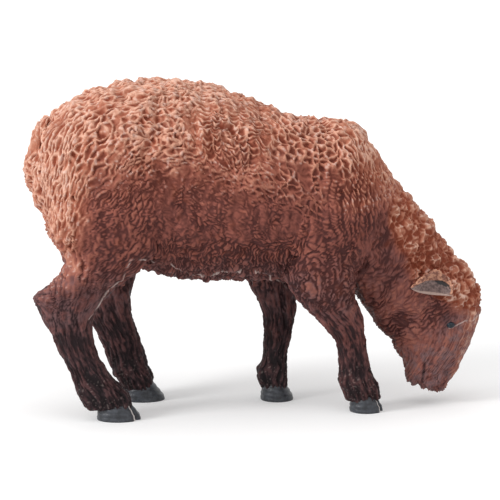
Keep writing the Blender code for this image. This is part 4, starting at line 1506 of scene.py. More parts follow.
    def lumps(self, patch: Patch) -> Array:
        """Round lumps of wool: 0.45 - 1.1 times the distance to a lump's middle.

        They are taller on the back and below the belly, and low on the legs
        and the side of the neck. The nape has its own knobs.
        """
        read = patch.readings(0.0)
        near = cells(patch.flat / self.lump, 0.8, 142)[0]
        legs, neck = covered(read, SMOOTH_LEGS), covered(read, SMOOTH_NECK)
        throat = neck * covered(read, THROAT)
        below = covered(read, UNDERSIDE) * (1.0 - legs)
        side = 1.0 - 0.6 * neck * covered(read, ABOVE_THROAT) + 0.8 * throat
        size = (0.75 + 0.7 * covered(read, LUMPY_BACK) + 0.8 * below) * (1.0 - 0.7 * legs) * side
        return (0.45 - 1.1 * near) * size + 1.2 * neck * patch.nape() * (0.48 - self.knobs(patch)[0])

    def tufts(self, patch: Patch) -> Array:
        """The broad tufts in mm: rise (middle - distance to the nearest seed)."""
        sections = np.arange(len(TUFT_SHARES))
        back, low = (np.interp(patch.place, sections, column) for column in zip(*TUFT_SHARES))
        share = low + (back - low) * np.clip(patch.high, 0.0, 1.0)
        shown = share > 0.01
        height = np.zeros(len(share))
        near = [noise.voronoi(place)[0][0] for place in (patch.points[shown] / self.tuft).tolist()]
        height[shown] = self.tuft_rise * share[shown] * (self.tuft_middle - np.array(near))
        return height

    def coat(self, points: Array, normals: Array, legged: bool = False) -> Coat:
        """Work out the coat at points of the skin.

        Args:
            points: places on the skin, in mm.
            normals: outward unit vectors.
            legged: whether it is a leg's skin.

        Returns:
            The coat.
        """
        parts = [
            self.coat_part(self.survey(points[start:start + BATCH], normals[start:start + BATCH], legged))
            for start in range(0, len(points), BATCH)
        ]
        names = [one.name for one in fields(Coat)]
        return Coat(*(np.concatenate([getattr(part, name) for part in parts]) for name in names))

    def coat_part(self, patch: Patch) -> Coat:
        """The coat of one batch: patterns, lumps, tufts, swells and grain together."""
        relief, height = self.pattern(patch)
        read = patch.readings(0.0)
        lumps = self.lumps(patch)
        strength = 0.85 + 0.35 * cloud(patch.points, 4.0, 141)
        swells = self.swell_rise * cloud(patch.points, 3.4, 143) * (1.0 - 0.5 * covered(read, SMOOTH_NECK))
        rough = cloud(patch.points, 0.75, 144) + 0.7 * cloud(patch.points, 0.4, 145)
        height = height * strength + self.lump_rise * lumps + swells + self.grain_rise * rough
        relief = np.clip(relief + 0.3 * lumps + 0.8 * swells + 0.22 * rough, -1.0, 1.0)
        tone, dry, ash = self.wash.lay(patch)
        seam = self.flash_lines(patch)
        # Painted highlights: near-white specks on the high, brushed crests, where the gloss would glint.
        painted_glints = smooth(cloud(patch.points, 0.45, 151) + 0.5 * relief, 0.62, 0.85) * smooth(dry, 0.1, 0.5)
        flecks = smooth(cloud(patch.points, 0.28, 152), 0.5, 0.8) * covered(read, FLECKED_SHANKS)
        flash = np.clip(0.7 * seam + 0.3 * painted_glints + 0.14 * flecks, 0.0, 1.0)
        return Coat(height + self.tufts(patch) + self.seam_rise * seam, relief, tone, dry, ash, flash)

    def flash_lines(self, patch: Patch) -> Array:
        """The mould's flash: e^-(distance / seam)^2 from a line, broken by noise."""
        spot = (patch.points + 0.2 * patch.warp)[:, [0, 2]] + 0.25 * clouds(patch.points, 1.2, 153)
        near = np.full(len(spot), np.inf)
        for line in FLASH_LINES:
            corners = np.array(line)
            for start, end in zip(corners[:-1], corners[1:]):
                way = end - start
                share = np.clip((spot - start) @ way / (way @ way), 0.0, 1.0)
                near = np.minimum(near, np.linalg.norm(spot - start - share[:, None] * way, axis=-1))
        whole = smooth(cloud(patch.points, 1.6, 154), -0.45, 0.1)
        return bell(near, self.seam) * whole * (np.abs(patch.points[:, 1]) > 2.0)


# Finishes


def srgb(red: int, green: int, blue: int) -> tuple[float, float, float, float]:
    """A screen colour of 0 to 255 as the linear colour that a shader takes."""
    shares = [channel / 255.0 for channel in (red, green, blue)]
    linear = [s / 12.92 if s <= 0.04045 else ((s + 0.055) / 1.055) ** 2.4 for s in shares]
    return (linear[0], linear[1], linear[2], 1.0)


Socket = bpy.types.NodeSocket
Stops = tuple[tuple[float, tuple[float, float, float, float]], ...]
Span = tuple[float, float]
# A noise node's usual middle range, which is spread to the range that is wanted
MIDDLE: Span = (0.35, 0.65)


@dataclass
class Shader:
    """A material's node tree, with short ways to add and join nodes."""

    material: bpy.types.Material | bpy.types.World

    @staticmethod
    def new(name: str) -> "Shader":
        """A new material with a Principled shader."""
        material = bpy.data.materials.new(name)
        material.use_nodes = True
        return Shader(material)

    @property
    def surface(self) -> bpy.types.Node:
        """The Principled shader."""
        return self.material.node_tree.nodes["Principled BSDF"]

    def set(self, **values: float | tuple) -> None:
        """Set the Principled shader's own sockets, named with _ for a space."""
        for socket, value in values.items():
            self.surface.inputs[socket.replace("_", " ")].default_value = value

    def feed(self, **sources: Socket) -> None:
        """Link outputs to the Principled shader's sockets, named with _ for a space."""
        for socket, source in sources.items():
            self.join(source, self.surface.inputs[socket.replace("_", " ")])

    def add(self, kind: str, **settings: object) -> bpy.types.Node:
        """Add a node and set its properties."""
        node = self.material.node_tree.nodes.new(kind)
        for setting, value in settings.items():
            setattr(node, setting, value)
        return node

    def join(self, source: Socket, target: Socket) -> None:
        """Link an output to an input."""
        self.material.node_tree.links.new(source, target)

    def layer(self, name: str) -> Socket:
        """A number that the mesh holds for each point."""
        return self.add("ShaderNodeAttribute", attribute_name=name).outputs["Fac"]

    def noise(self, size: float, detail: float, stretch: tuple = (1.0, 1.0, 1.0)) -> Socket:
        """Noise on Object coordinates, of features about size mm wide."""
        place = self.add("ShaderNodeTexCoord").outputs["Object"]
        mapping = self.add("ShaderNodeMapping")
        mapping.inputs["Scale"].default_value = stretch
        self.join(place, mapping.inputs["Vector"])
        noise_node = self.add("ShaderNodeTexNoise")
        noise_node.inputs["Scale"].default_value = 1.0 / (size * MM)
        noise_node.inputs["Detail"].default_value = detail
        self.join(mapping.outputs["Vector"], noise_node.inputs["Vector"])
        return noise_node.outputs["Fac"]

    def ranged(self, value: Socket, span: Span, to: Span = (0.0, 1.0)) -> Socket:
        """Spread a number from one range to another, smoothly and clamped."""
        node = self.add("ShaderNodeMapRange", interpolation_type="SMOOTHSTEP")
        self.join(value, node.inputs["Value"])
        for name, limit in zip(("From Min", "From Max", "To Min", "To Max"), span + to):
            node.inputs[name].default_value = limit
        return node.outputs["Result"]

    def mottle(self, size: float, detail: float, span: Span = MIDDLE, to: Span = (0.0, 1.0)) -> Socket:
        """Noise of a size, with its range spread to another."""
        return self.ranged(self.noise(size, detail), span, to)

    def times(self, first: Socket, second: Socket) -> Socket:
        """The product of two numbers."""
        node = self.add("ShaderNodeMath", operation="MULTIPLY")
        self.join(first, node.inputs[0])
        self.join(second, node.inputs[1])
        return node.outputs["Value"]

    def ramp(self, value: Socket, stops: Stops) -> Socket:
        """Colours along a number."""
        node = self.add("ShaderNodeValToRGB")
        elements = node.color_ramp.elements
        elements[0].position, elements[0].color = stops[0]
        elements[1].position, elements[1].color = stops[-1]
        for position, colour in stops[1:-1]:
            elements.new(position).color = colour
        self.join(value, node.inputs["Fac"])
        return node.outputs["Color"]

    def mix(self, share: Socket, base: Socket, over: tuple | Socket) -> Socket:
        """Lay a colour over another by a share."""
        node = self.add("ShaderNodeMix", data_type="RGBA")
        self.join(share, node.inputs[0])
        self.join(base, node.inputs[6])
        if isinstance(over, tuple):
            node.inputs[7].default_value = over
        else:
            self.join(over, node.inputs[7])
        return node.outputs[2]

    def bump(self, height: Socket, depth: float) -> Socket:
        """Raise the shading by height times depth mm."""
        node = self.add("ShaderNodeBump")
        node.inputs["Distance"].default_value = depth * MM
        self.join(height, node.inputs["Height"])
        return node.outputs["Normal"]


@dataclass(frozen=True)
class PaintedWool:
    """Painted soft PVC: each tone has a colour for pits, slopes and crests.

    Attributes:
        name: the material's name.
        pits: colours in the pits along the tone, from the hooves to the back; the toy's dark wash, deepened
            as painted shade.
        slopes: colours between pit and crest.
        crests: colours of the dry-brushed crests.
        blotch: the dark colour of thick paint in blotches.
        glow: the warm colour of thin paint on the slopes.
        pit_glow: the same in the pits.
        greyed: the colour that greyed places lean to.
        rubbed: the near-white of flash, and of the painted highlights on crest tips.
        roughness: least and most, of the dry paint.
        gloss: how strongly it mirrors.
        grain: width of the fine strands, in mm.
        grain_depth: how deep the strands are, in mm.
    """

    name: str
    pits: Stops = (
        (0.00, srgb(20, 16, 18)),
        (0.30, srgb(46, 29, 31)),
        (0.55, srgb(76, 39, 36)),
        (0.80, srgb(116, 54, 38)),
        (1.00, srgb(138, 66, 44)),
    )
    slopes: Stops = (
        (0.00, srgb(38, 29, 32)),
        (0.15, srgb(56, 38, 40)),
        (0.36, srgb(104, 59, 54)),
        (0.55, srgb(142, 82, 70)),
        (0.80, srgb(164, 96, 74)),
        (1.00, srgb(184, 120, 96)),
    )
    crests: Stops = (
        (0.00, srgb(94, 66, 67)),
        (0.30, srgb(142, 88, 80)),
        (0.55, srgb(178, 112, 90)),
        (0.80, srgb(210, 156, 132)),
        (1.00, srgb(222, 176, 154)),
    )
    blotch: tuple = srgb(72, 38, 36)
    glow: tuple = srgb(156, 80, 50)
    pit_glow: tuple = srgb(158, 78, 48)
    greyed: tuple = srgb(122, 97, 99)
    rubbed: tuple = srgb(226, 204, 196)
    roughness: Span = (0.47, 0.67)
    gloss: float = 0.14
    grain: float = 0.24
    grain_depth: float = 0.05

    def material(self) -> bpy.types.Material:
        """Build the node tree: slopes, then pits with painted shade, crests, and flash and painted highlights
        over them.
        """
        shader = Shader.new(self.name)
        relief, tone, dry = (shader.layer(name) for name in ("relief", "tone", "dry"))
        painted = shader.ramp(tone, self.slopes)
        painted = shader.mix(shader.mottle(4.5, 3.0, (0.38, 0.72), (0.0, 0.30)), painted, self.blotch)
        glow = shader.times(shader.mottle(2.2, 3.0, (0.55, 0.78), (0.0, 0.35)), tone)
        painted = shader.mix(glow, painted, self.glow)
        greyed = shader.times(shader.layer("ash"), shader.mottle(1.5, 3.0, MIDDLE, (0.25, 0.9)))
        painted = shader.mix(greyed, painted, self.greyed)
        # The pits' colour where the relief is low: the toy's wash, and painted shade.
        pits = shader.mix(glow, shader.ramp(tone, self.pits), self.pit_glow)
        painted = shader.mix(shader.ranged(relief, (0.15, -0.75), (0.0, 0.95)), painted, pits)
        broken = shader.mottle(0.8, 2.0, (0.32, 0.60), (0.3, 1.0))
        brushing = shader.times(shader.ranged(relief, (0.0, 0.8)), broken)
        brushing = shader.times(brushing, shader.ranged(dry, (0.0, 1.0), (0.5, 1.0)))
        painted = shader.mix(brushing, painted, shader.ramp(tone, self.crests))
        # Near-white over all: the mould's flash, and the painted highlights on the crests.
        painted = shader.mix(shader.layer("flash"), painted, self.rubbed)
        strands = shader.bump(shader.noise(self.grain, 3.0), self.grain_depth)
        rough = shader.mottle(1.3, 2.0, (0.3, 0.7), self.roughness)
        shader.feed(Base_Color=painted, Roughness=rough, Normal=strands)
        shader.set(Specular_IOR_Level=self.gloss)
        return shader.material


@dataclass(frozen=True)
class PaintedHorn:
    """Slate-grey hoof paint, semi-gloss, near-white along the lip beside the groove."""

    name: str = "slate_horn"
    slate: Stops = ((0.0, srgb(37, 39, 44)), (1.0, srgb(63, 66, 73)))
    rubbed: tuple = srgb(214, 206, 202)
    roughness: Span = (0.32, 0.46)

    def material(self) -> bpy.types.Material:
        """Build the node tree."""
        shader = Shader.new(self.name)
        base = shader.ramp(shader.mottle(0.9, 4.0, (0.3, 0.7)), self.slate)
        base = shader.mix(shader.ranged(shader.layer("relief"), (0.25, 0.7), (0.0, 0.95)), base, self.rubbed)
        grain = shader.bump(shader.noise(0.35, 3.0, (1.0, 1.0, 3.0)), 0.05)
        rough = shader.mottle(0.6, 2.0, (0.3, 0.7), self.roughness)
        shader.feed(Base_Color=base, Roughness=rough, Normal=grain)
        return shader.material


@dataclass(frozen=True)
class GlossyEye:
    """Near-black gloss paint, slightly clouded."""

    name: str = "gloss_eye"
    black: Stops = ((0.0, srgb(20, 26, 32)), (1.0, srgb(44, 56, 66)))

    def material(self) -> bpy.types.Material:
        """Build the node tree."""
        shader = Shader.new(self.name)
        base = shader.ramp(shader.mottle(0.5, 1.0), self.black)
        shader.feed(Base_Color=base, Normal=shader.bump(shader.noise(0.4, 1.0), 0.01))
        shader.set(Roughness=0.2, Specular_IOR_Level=0.3)
        return shader.material


@dataclass(frozen=True)
class PaintedEar:
    """The ear's brown back, grey-beige hollow, worn rim, and near-black painted shade in its opening."""

    name: str = "painted_ear"
    back: Stops = ((0.0, srgb(118, 68, 52)), (1.0, srgb(200, 144, 116)))
    lining: Stops = ((0.0, srgb(86, 66, 64)), (1.0, srgb(132, 108, 102)))
    worn: tuple = srgb(190, 162, 150)
    opening: tuple = srgb(22, 19, 21)

    def material(self) -> bpy.types.Material:
        """Build the node tree."""
        shader = Shader.new(self.name)
        back = shader.ramp(shader.mottle(0.7, 3.0), self.back)
        lining = shader.ramp(shader.mottle(0.45, 3.0), self.lining)
        base = shader.mix(shader.ranged(shader.layer("inner"), (0.25, 0.6)), back, lining)
        base = shader.mix(shader.ranged(shader.layer("rim"), (0.3, 0.9), (0.0, 0.75)), base, self.worn)
        # Painted shade: near-black in the ear's opening, where the hollow is deepest.
        base = shader.mix(shader.ranged(shader.layer("deep"), (0.25, 0.6), (0.0, 0.97)), base, self.opening)
        shader.feed(Base_Color=base, Normal=shader.bump(shader.noise(0.3, 3.0), 0.04))
        shader.set(Roughness=0.5)
        return shader.material


# The animal's sub-assemblies


@dataclass
class Furred:
    """What every woolly or hairy piece shares.

    Attributes:
        skin: the common surface.
        wool: the coat on it.
        paint: its finish.
        rings_count: rings from end to end.
        points_count: points round a ring.
    """

    skin: Skin
    wool: Wool
    paint: PaintedWool
    rings_count: int
    points_count: int

    def grid(self, loft: Loft, first: float, final: float) -> tuple[Array, Array]:
        """Rings from first to final, and their places."""
        places = loft.spaced(self.rings_count + 2, first, final)
        return loft.rings(places, turns(self.points_count)), places

    def dressed(self, rings: Array, own: str) -> tuple[Array, Array, Array, Coat]:
        """Settle rings in the common skin and work out their coat.

        Args:
            rings: the loft's own rings.
            own: the loft's name.

        Returns:
            The settled points, their outward unit vectors, how far each is to
            be sunk, and the coat.
        """
        flat, sunk = self.skin.settle(rings.reshape(-1, 3), own)
        normals = grid_normals(flat.reshape(rings.shape)).reshape(-1, 3)
        return flat, normals, sunk, self.wool.coat(flat, normals, own != "trunk")

    def closed(self, name: str, points: Array, coat: Coat) -> bpy.types.Object:
        """The piece of a grid of points, painted as its coat says."""
        shape = (self.rings_count + 2, self.points_count)
        layers = ("relief", "tone", "dry", "ash", "flash")
        paint = {layer: getattr(coat, layer).reshape(shape) for layer in layers}
        return close_up(name, points.reshape(*shape, 3), paint)


@dataclass
class Trunk(Furred):
    """The woolly trunk in four barrels, from the rump to past the neck's joint.

    Neighbours share the same surface, and each dives under the other past
    their border, so that the border can't be seen.

    Attributes:
        borders: the barrels' names, and where each ends.
        overlap: how many sections a barrel runs on beneath the next.
        dive: how deep it goes there, in mm.
    """

    borders: tuple = (("rump", 2.6), ("loin", 5.6), ("ribs", 8.6), ("withers", JOINT_PLACE + 0.1))
    overlap: float = 0.35
    dive: float = 0.8

    def build(self) -> None:
        """Make the barrels' surfaces and dress them."""
        loft = self.skin.lofts["trunk"]
        finish = self.paint.material()
        first = -1.0
        for name, final in self.borders:
            begin = first if first < 0.0 else first - self.overlap
            rings, places = self.grid(loft, begin, final + self.overlap)
            points, normals, sunk, coat = self.dressed(rings, "trunk")
            tucked = smooth(places, final, final + self.overlap)
            if first > 0.0:
                tucked = tucked + 1.0 - smooth(places, first - self.overlap, first)
            tucked = np.repeat(tucked, self.points_count)
            points = points + normals * (coat.height - sunk - self.dive * tucked)[:, None]
            piece = self.closed(f"fleece_{name}", points, coat)
            hand_over(piece, Slot.FLEECE, finish, "torso")
            first = final


@dataclass
class Swell:
    """A soft hump or hollow of the face, an oval bell on the skin.

    Attributes:
        place: its section, counted from the rump.
        high: its height in the section, from -1 at the jaw to 1 at the brow.
        length: its reach along its own axis, in mm.
        width: its reach across.
        rise: how far it stands out, or in where negative.
        tilt: its axis, in degrees from X towards Z.
        shade: how far it changes the tone; in the face's hollows it darkens them as painted shade.
        depth: its reach along Y, in mm.
    """

    place: float
    high: float
    length: float
    width: float
    rise: float
    tilt: float = 0.0
    shade: float = 0.0
    depth: float = 3.0

    def strength(self, points: Array, centre: Array) -> Array:
        """The bell's height at points, e^-(a^2 + b^2 + c^2) in its own axes."""
        turn = math.radians(self.tilt)
        away = points - centre
        lengthwise = (away[:, 0] * math.cos(turn) + away[:, 2] * math.sin(turn)) / self.length
        crosswise = (away[:, 2] * math.cos(turn) - away[:, 0] * math.sin(turn)) / self.width
        sideways = away[:, 1] / self.depth
        return np.exp(-(lengthwise**2 + crosswise**2 + sideways**2))


# The face's humps and hollows, each made on both sides. A hollow's shade darkens it as painted shade.
FACE_SWELLS = (
    Swell(17.75, 0.44, 2.4, 0.9, 0.60, tilt=-60.0, shade=0.05),
    Swell(17.65, 0.14, 1.6, 1.2, -0.40, tilt=-50.0, shade=-0.22),
    Swell(18.25, 0.17, 1.4, 1.0, -0.40, tilt=-12.0, shade=-0.18),
    Swell(18.75, 0.02, 1.6, 0.8, 0.30, tilt=-20.0),
    Swell(17.6, -0.40, 4.2, 3.0, 0.55, tilt=-50.0),
    Swell(19.4, -0.35, 2.2, 1.2, -0.30, tilt=-65.0, shade=-0.05),
    Swell(20.6, 0.35, 2.6, 1.0, 0.28, tilt=-70.0),
    Swell(22.3, 0.38, 0.85, 0.45, -0.55, tilt=-25.0, shade=-0.25),
    Swell(22.2, 0.72, 1.0, 0.7, 0.35, tilt=-25.0),
    Swell(20.7, -0.57, 3.1, 0.24, -0.60, tilt=86.0, shade=-0.35),
    Swell(20.3, -0.33, 0.4, 0.35, -0.25, shade=-0.3),
    Swell(21.3, -0.85, 1.8, 1.4, 0.30, tilt=75.0),
    Swell(22.9, -0.50, 0.9, 0.8, 0.40, tilt=80.0, shade=-0.08),
    Swell(22.9, 0.10, 1.4, 1.0, 0.25, tilt=80.0),
)


@dataclass
class Head(Furred):
    """The neck and head, with brows, eye sockets, nostrils and mouth.

    Attributes:
        overlap: how many sections it starts before the joint.
        dive: how deep it goes there, in mm.
        swells: the face's humps and hollows.
        eye_place: the eyes' section.
        eye_high: their height in it.
        eye_size: half sizes of an eye, in mm.
        eye_sink: how deep it sits, as a share of its half size.
        eye_grid: rings and points of an eye.
    """

    overlap: float = 0.4
    dive: float = 0.8
    swells: tuple = FACE_SWELLS
    eye_place: float = 18.22
    eye_high: float = 0.15
    eye_size: tuple = (0.80, 0.60, 0.62)
    eye_sink: float = 0.75
    eye_grid: tuple = (24, 40)

    def skin_point(self, place: float, high: float, side: Side) -> Array:
        """A point of the trunk's loft on one side."""
        loft = self.skin.lofts["trunk"]
        angle = math.acos(math.copysign(abs(high) ** (1.0 / loft.squareness), high))
        return loft.rings(np.array([place]), np.array([side.value * angle]))[0, 0]

    def build(self) -> None:
        """Make the neck and head, shape the face and dress it."""
        loft = self.skin.lofts["trunk"]
        start = JOINT_PLACE - self.overlap
        rings, places = self.grid(loft, start, loft.last + 1.0)
        points, normals, sunk, coat = self.dressed(rings, "trunk")
        tucked = np.repeat(1.0 - smooth(places, start, JOINT_PLACE + 0.1), self.points_count)
        shape = np.zeros(len(points))
        for side in Side:
            for swell in self.swells:
                strength = swell.strength(points, self.skin_point(swell.place, swell.high, side))
                shape += swell.rise * strength
                # Hollows are painted darker here, as painted shade.
                coat.tone = np.clip(coat.tone + swell.shade * strength, 0.0, 1.0)
        points = points + normals * (shape + coat.height - sunk - self.dive * tucked)[:, None]
        piece = self.closed("neck_and_face", points, coat)
        hand_over(piece, Slot.FACE, self.paint.material(), "neck_and_head")

    def eyes(self) -> None:
        """Two glossy beads in the sockets, x = a cos cos, y = b sin, z = c cos sin."""
        finish = GlossyEye().material()
        rows, columns = self.eye_grid
        rise = np.linspace(-math.pi / 2.0, math.pi / 2.0, rows + 2)[1:-1, None]
        turn = turns(columns)[None, :]
        level = np.cos(rise)
        aside = np.sin(rise) * np.ones(columns)
        ball = np.stack((level * np.cos(turn), aside, level * np.sin(turn)), axis=-1)
        size = np.array(self.eye_size)
        pole = np.array((0.0, size[1], 0.0))
        for side in Side:
            centre = self.skin_point(self.eye_place, self.eye_high, side)
            centre[1] -= side.value * size[1] * self.eye_sink
            name = f"eye_{side.name.lower()}"
            piece = make_piece(name, centre + ball * size, centre - pole, centre + pole, {})
            hand_over(piece, Slot.EYE, finish)


@dataclass
class Leg(Furred):
    """A leg's hair from haunch or shoulder down to the hoof, with its dewclaws.

    Attributes:
        shape: its sizes.
        claw_height: how high the dewclaws sit, in mm.
        claw_turn: how far each is turned from the rear, in degrees.
        claw_rise: how far they stand out.
        claw_size: their reach.
        claw_bare: how much of the hair's height their middles lack.
    """

    shape: LegShape = field(default=None)
    claw_height: float = 6.0
    claw_turn: float = 36.0
    claw_rise: float = 0.85
    claw_size: float = 0.95
    claw_bare: float = 0.7

    def dewclaws(self, points: Array, loft: Loft) -> Array:
        """Two bumps behind the pastern, each e^-(distance / size)^2."""
        place = np.interp(self.claw_height, loft.centres[::-1, 2], np.arange(loft.last, -1, -1))
        turn = math.pi - math.radians(self.claw_turn)
        spots = loft.rings(np.array([place]), np.array([turn, -turn]))[0]
        return sum(bell(np.linalg.norm(points - spot, axis=-1), self.claw_size) for spot in spots)

    def build(self) -> None:
        """Make the leg's surface, raise its dewclaws and dress it."""
        node = self.shape.node
        loft = self.skin.lofts[node]
        rings, _ = self.grid(loft, -1.0, loft.last + 1.0)
        points, normals, sunk, coat = self.dressed(rings, node)
        claws = self.dewclaws(points, loft)
        height = coat.height * (1.0 - self.claw_bare * np.clip(claws, 0.0, 1.0)) + self.claw_rise * claws
        points = points + normals * (height - sunk)[:, None]
        piece = self.closed(f"{node}_hair", points, coat)
        hand_over(piece, Slot.LEG, self.paint.material(), node)


@dataclass
class Hoof:
    """A cloven hoof: level ovals from coronet to sole, with a groove cut in.

    Attributes:
        shape: its leg's sizes.
        sizes: the animal's sizes.
        grid: rings and points round a ring.
        cleft_depth: how deep the groove is at the toe, in mm.
        cleft_width: half width of the groove.
        cleft_turn: how far the toes are turned out, in degrees.
        cleft_start: where it starts, in mm before the sole's middle.
        cleft_full: where it is at full depth, as a share of the hoof's length.
        lip_place: where the pale lip runs beside the groove, in its widths.
        lip_spread: the square of the lip's own reach, in the same.
        growth_rise: height of the level growth rings.
        growth_turns: radians of a growth ring's wave for each mm of height.
        growth_bend: how far they dip towards the toe, in radians.
    """

    shape: LegShape
    sizes: Build
    grid: tuple = (62, 160)
    cleft_depth: float = 1.7
    cleft_width: float = 0.34
    cleft_turn: float = 24.0
    cleft_start: float = -0.3
    cleft_full: float = 0.40
    lip_place: float = 2.1
    lip_spread: float = 0.6
    growth_rise: float = 0.05
    growth_turns: float = 6.5
    growth_bend: float = 1.2

    def loft(self) -> Loft:
        """The hoof's loft, whose last section is cut level with the ground."""
        rows = np.array(HOOF_SHARES)
        sole = [np.interp(0.0, rows[::-1, 0], rows[::-1, column]) for column in range(4)]
        up, heel, toe, width = np.vstack((rows[:-1], sole)).T
        foot = self.shape.foot(self.sizes)
        along = foot[0] + self.shape.hoof_length * (heel + toe) / 2.0
        middles = np.stack((along, np.full(len(up), foot[1]), self.shape.hoof_height * up))
        lengths = self.shape.hoof_length * (toe - heel) / 2.0
        return level_loft(middles, lengths, self.shape.hoof_width / 2.0 * width, (1.0, 0.6, 0.02))

    def build(self, finish: bpy.types.Material) -> None:
        """Make the hoof.

        The groove's depth is a narrow bell across the hoof, and it grows from
        nothing at the middle to its full depth at the toe.

        Args:
            finish: the horn's material.
        """
        horn = self.loft()
        foot = self.shape.foot(self.sizes)
        angles = turns(self.grid[1])
        rings = horn.rings(horn.spaced(self.grid[0], -1.0, horn.last + 1.0), angles)
        side = self.shape.side.value
        turn = math.radians(self.cleft_turn) * side
        away = rings - foot
        across = (away[..., 1] * math.cos(turn) - away[..., 0] * math.sin(turn)) / self.cleft_width
        forward = smooth(away[..., 0], self.cleft_start, self.shape.hoof_length * self.cleft_full)
        cleft = self.cleft_depth * bell(across, 1.0) * forward
        lip = np.exp(-((across - self.lip_place * side) ** 2) / self.lip_spread)
        lip = lip * smooth(forward, 0.1, 0.5)
        height = rings[..., 2]
        growth = np.sin(height * self.growth_turns + self.growth_bend * np.cos(angles)[None, :])
        growth = self.growth_rise * growth * smooth(height, 0.15, 0.6)
        growth = growth * smooth(height.max() - height, 0.2, 0.8)
        outward = (rings - rings.mean(axis=1, keepdims=True)) * np.array((1.0, 1.0, 0.0))
        rings = rings + unit(outward) * growth[..., None]
        rings = rings - cleft[..., None] * np.array((math.cos(turn), math.sin(turn), 0.0))
        rings[..., 2] = np.maximum(rings[..., 2], 0.0)
        piece = close_up(self.shape.node.replace("leg", "hoof"), rings, {"relief": lip}, bare_poles=True)
        hand_over(piece, Slot.HOOF, finish)


@dataclass
class Tail(Furred):
    """The docked tail that lies on the rump.

    Attributes:
        sizes: the animal's sizes.
        width: across the rump, in mm.
        thickness: from the rump out.
    """

    sizes: Build = field(default=None)
    width: float = 6.2
    thickness: float = 2.8

    def build(self) -> None:
        """Make the tail, raise its wool and dress it."""
        low, high = node_box("tail")
        length = high[2] - low[2] + self.sizes.cage_depth
        down, aft, width, thick = np.array(TAIL_SHARES).T
        root = self.sizes.belly + self.sizes.depth * TAIL_ROOT_SHARE
        middle = low[0] + self.thickness / 2.0
        along = middle + self.thickness * (0.1 - aft)
        middles = np.stack((along, np.zeros(len(down)), root - length * down))
        half_thick, half_wide = self.thickness / 2.0 * thick, self.width / 2.0 * width
        loft = level_loft(middles, half_thick, half_wide, (1.0, 0.9, 0.9))
        rings, _ = self.grid(loft, -1.0, loft.last + 1.0)
        points, normals = rings.reshape(-1, 3), grid_normals(rings).reshape(-1, 3)
        coat = self.wool.coat(points, normals)
        piece = self.closed("tail_wool", points + normals * coat.height[:, None], coat)
        hand_over(piece, Slot.FLEECE, self.paint.material(), "tail")


@dataclass
class Ear:
    """A leaf-shaped ear, hollowed on its outer face.

    Attributes:
        side: the side of the head that it is on.
        sizes: the animal's sizes.
        grid: rings and points round a ring.
        length: from root to tip, in mm.
        width: at its widest.
        thickness: of the blade.
        cup: how far the blade bows.
        hollow: how deep the outer face is hollowed.
        hollow_span: where along it the hollow starts, is whole, fades and ends.
        edge_wool: how far the wool frays the upper rim.
        back_wool: how far it stands out on the back.
        sweep: which way the left ear's blade runs.
        outlook: which way its hollow faces.
        root_shares: the root's place in the head's side view.
        standoff: how far the root's middle lies from the animal's middle.
    """

    side: Side
    sizes: Build
    grid: tuple = (92, 112)
    length: float = 8.6
    width: float = 4.8
    thickness: float = 1.3
    cup: float = 0.8
    hollow: float = 1.0
    hollow_span: tuple = (0.02, 0.2, 0.55, 0.95)
    edge_wool: float = 0.3
    back_wool: float = 0.22
    sweep: tuple = (-0.92, 0.27, 0.22)
    outlook: tuple = (0.20, 1.00, -0.10)
    root_shares: tuple = (0.69, 0.365)
    standoff: float = 8.49

    def axes(self) -> tuple[Array, Array, Array, Array]:
        """The root, and unit vectors along, across and out of the blade."""
        turn = np.array((1.0, self.side.value, 1.0))
        along = unit(np.array(self.sweep) * turn)
        out = np.array(self.outlook) * turn
        out = unit(out - along * out.dot(along))
        across = np.cross(out, along)
        across = unit(across * np.sign(across[2]))
        root = self.sizes.head_point(*self.root_shares)
        root[1] = self.side.value * self.standoff
        return root, along, across, out

    def build(self, finish: bpy.types.Material) -> None:
        """Make the ear from crescent sections.

        With a = cos v across and s = sin v, the outer face lies at
        t sqrt(s) - hollow (1 - a^2)^2, the back at -t sqrt(-s) - half of that.

        Args:
            finish: the ear's material.
        """
        root, along, across, out = self.axes()
        places = np.linspace(0.0, len(EAR_SHARES) - 1.0, self.grid[0])
        far, width, thick, cup, lean = through(np.array(EAR_SHARES), places).T
        angles = turns(self.grid[1])
        sine, cosine = np.sin(angles)[None, :], np.cos(angles)[None, :]
        half = self.thickness / 2.0 * np.maximum(thick, 0.1)[:, None] * np.sqrt(np.abs(sine))
        start, whole, fading, end = self.hollow_span
        depth = self.hollow * (smooth(far, start, whole) * (1.0 - smooth(far, fading, end)))[:, None]
        bowl = depth * np.clip(1.0 - (cosine + 0.12) ** 2, 0.0, 1.0) ** 2
        outward = np.where(sine >= 0.0, half - bowl, -half - 0.5 * bowl)
        centre = root + along * (self.length * far)[:, None] - out * (self.cup * cup)[:, None]
        centre = centre + across * (self.width * (lean + 0.2 * width))[:, None]
        points = centre[:, None, :] + across * (self.width / 2.0 * width[:, None] * cosine)[..., None]
        points = points + out * outward[..., None]
        flat = points.reshape(-1, 3)
        wool = 1.2 * cloud(flat, 1.0, 200) + cloud(flat, 0.5, 201) + 0.5 * cloud(flat, 0.28, 202)
        wool = wool.reshape(self.grid)
        fuzz = np.where(sine < 0.1, 1.0, smooth(cosine, 0.0, 0.25)) * np.ones((len(far), 1))
        points = points + across * (self.edge_wool * wool * smooth(cosine, 0.3, 0.9))[..., None]
        points = points + out * (self.back_wool * wool * fuzz * np.where(sine >= 0.0, 1.0, -1.0))[..., None]
        # Where the opening's painted shade lies: in the hollow near the root.
        slot = bell(far - 0.24, 0.2)[:, None] * bell(cosine + 0.2 * wool - 0.1, 0.3) * smooth(sine, 0.0, 0.3)
        paint = {
            "inner": (1.0 - fuzz) * smooth(far, 0.02, 0.1)[:, None],
            "deep": slot,
            "rim": smooth(-cosine, 0.62, 0.9) * np.ones((len(far), 1)),
        }
        word = self.side.name.lower()
        piece = close_up(f"ear_leaf_{word}", points, paint, bare_poles=True)
        hand_over(piece, Slot.EAR, finish, f"ear_{word}")


# The studio


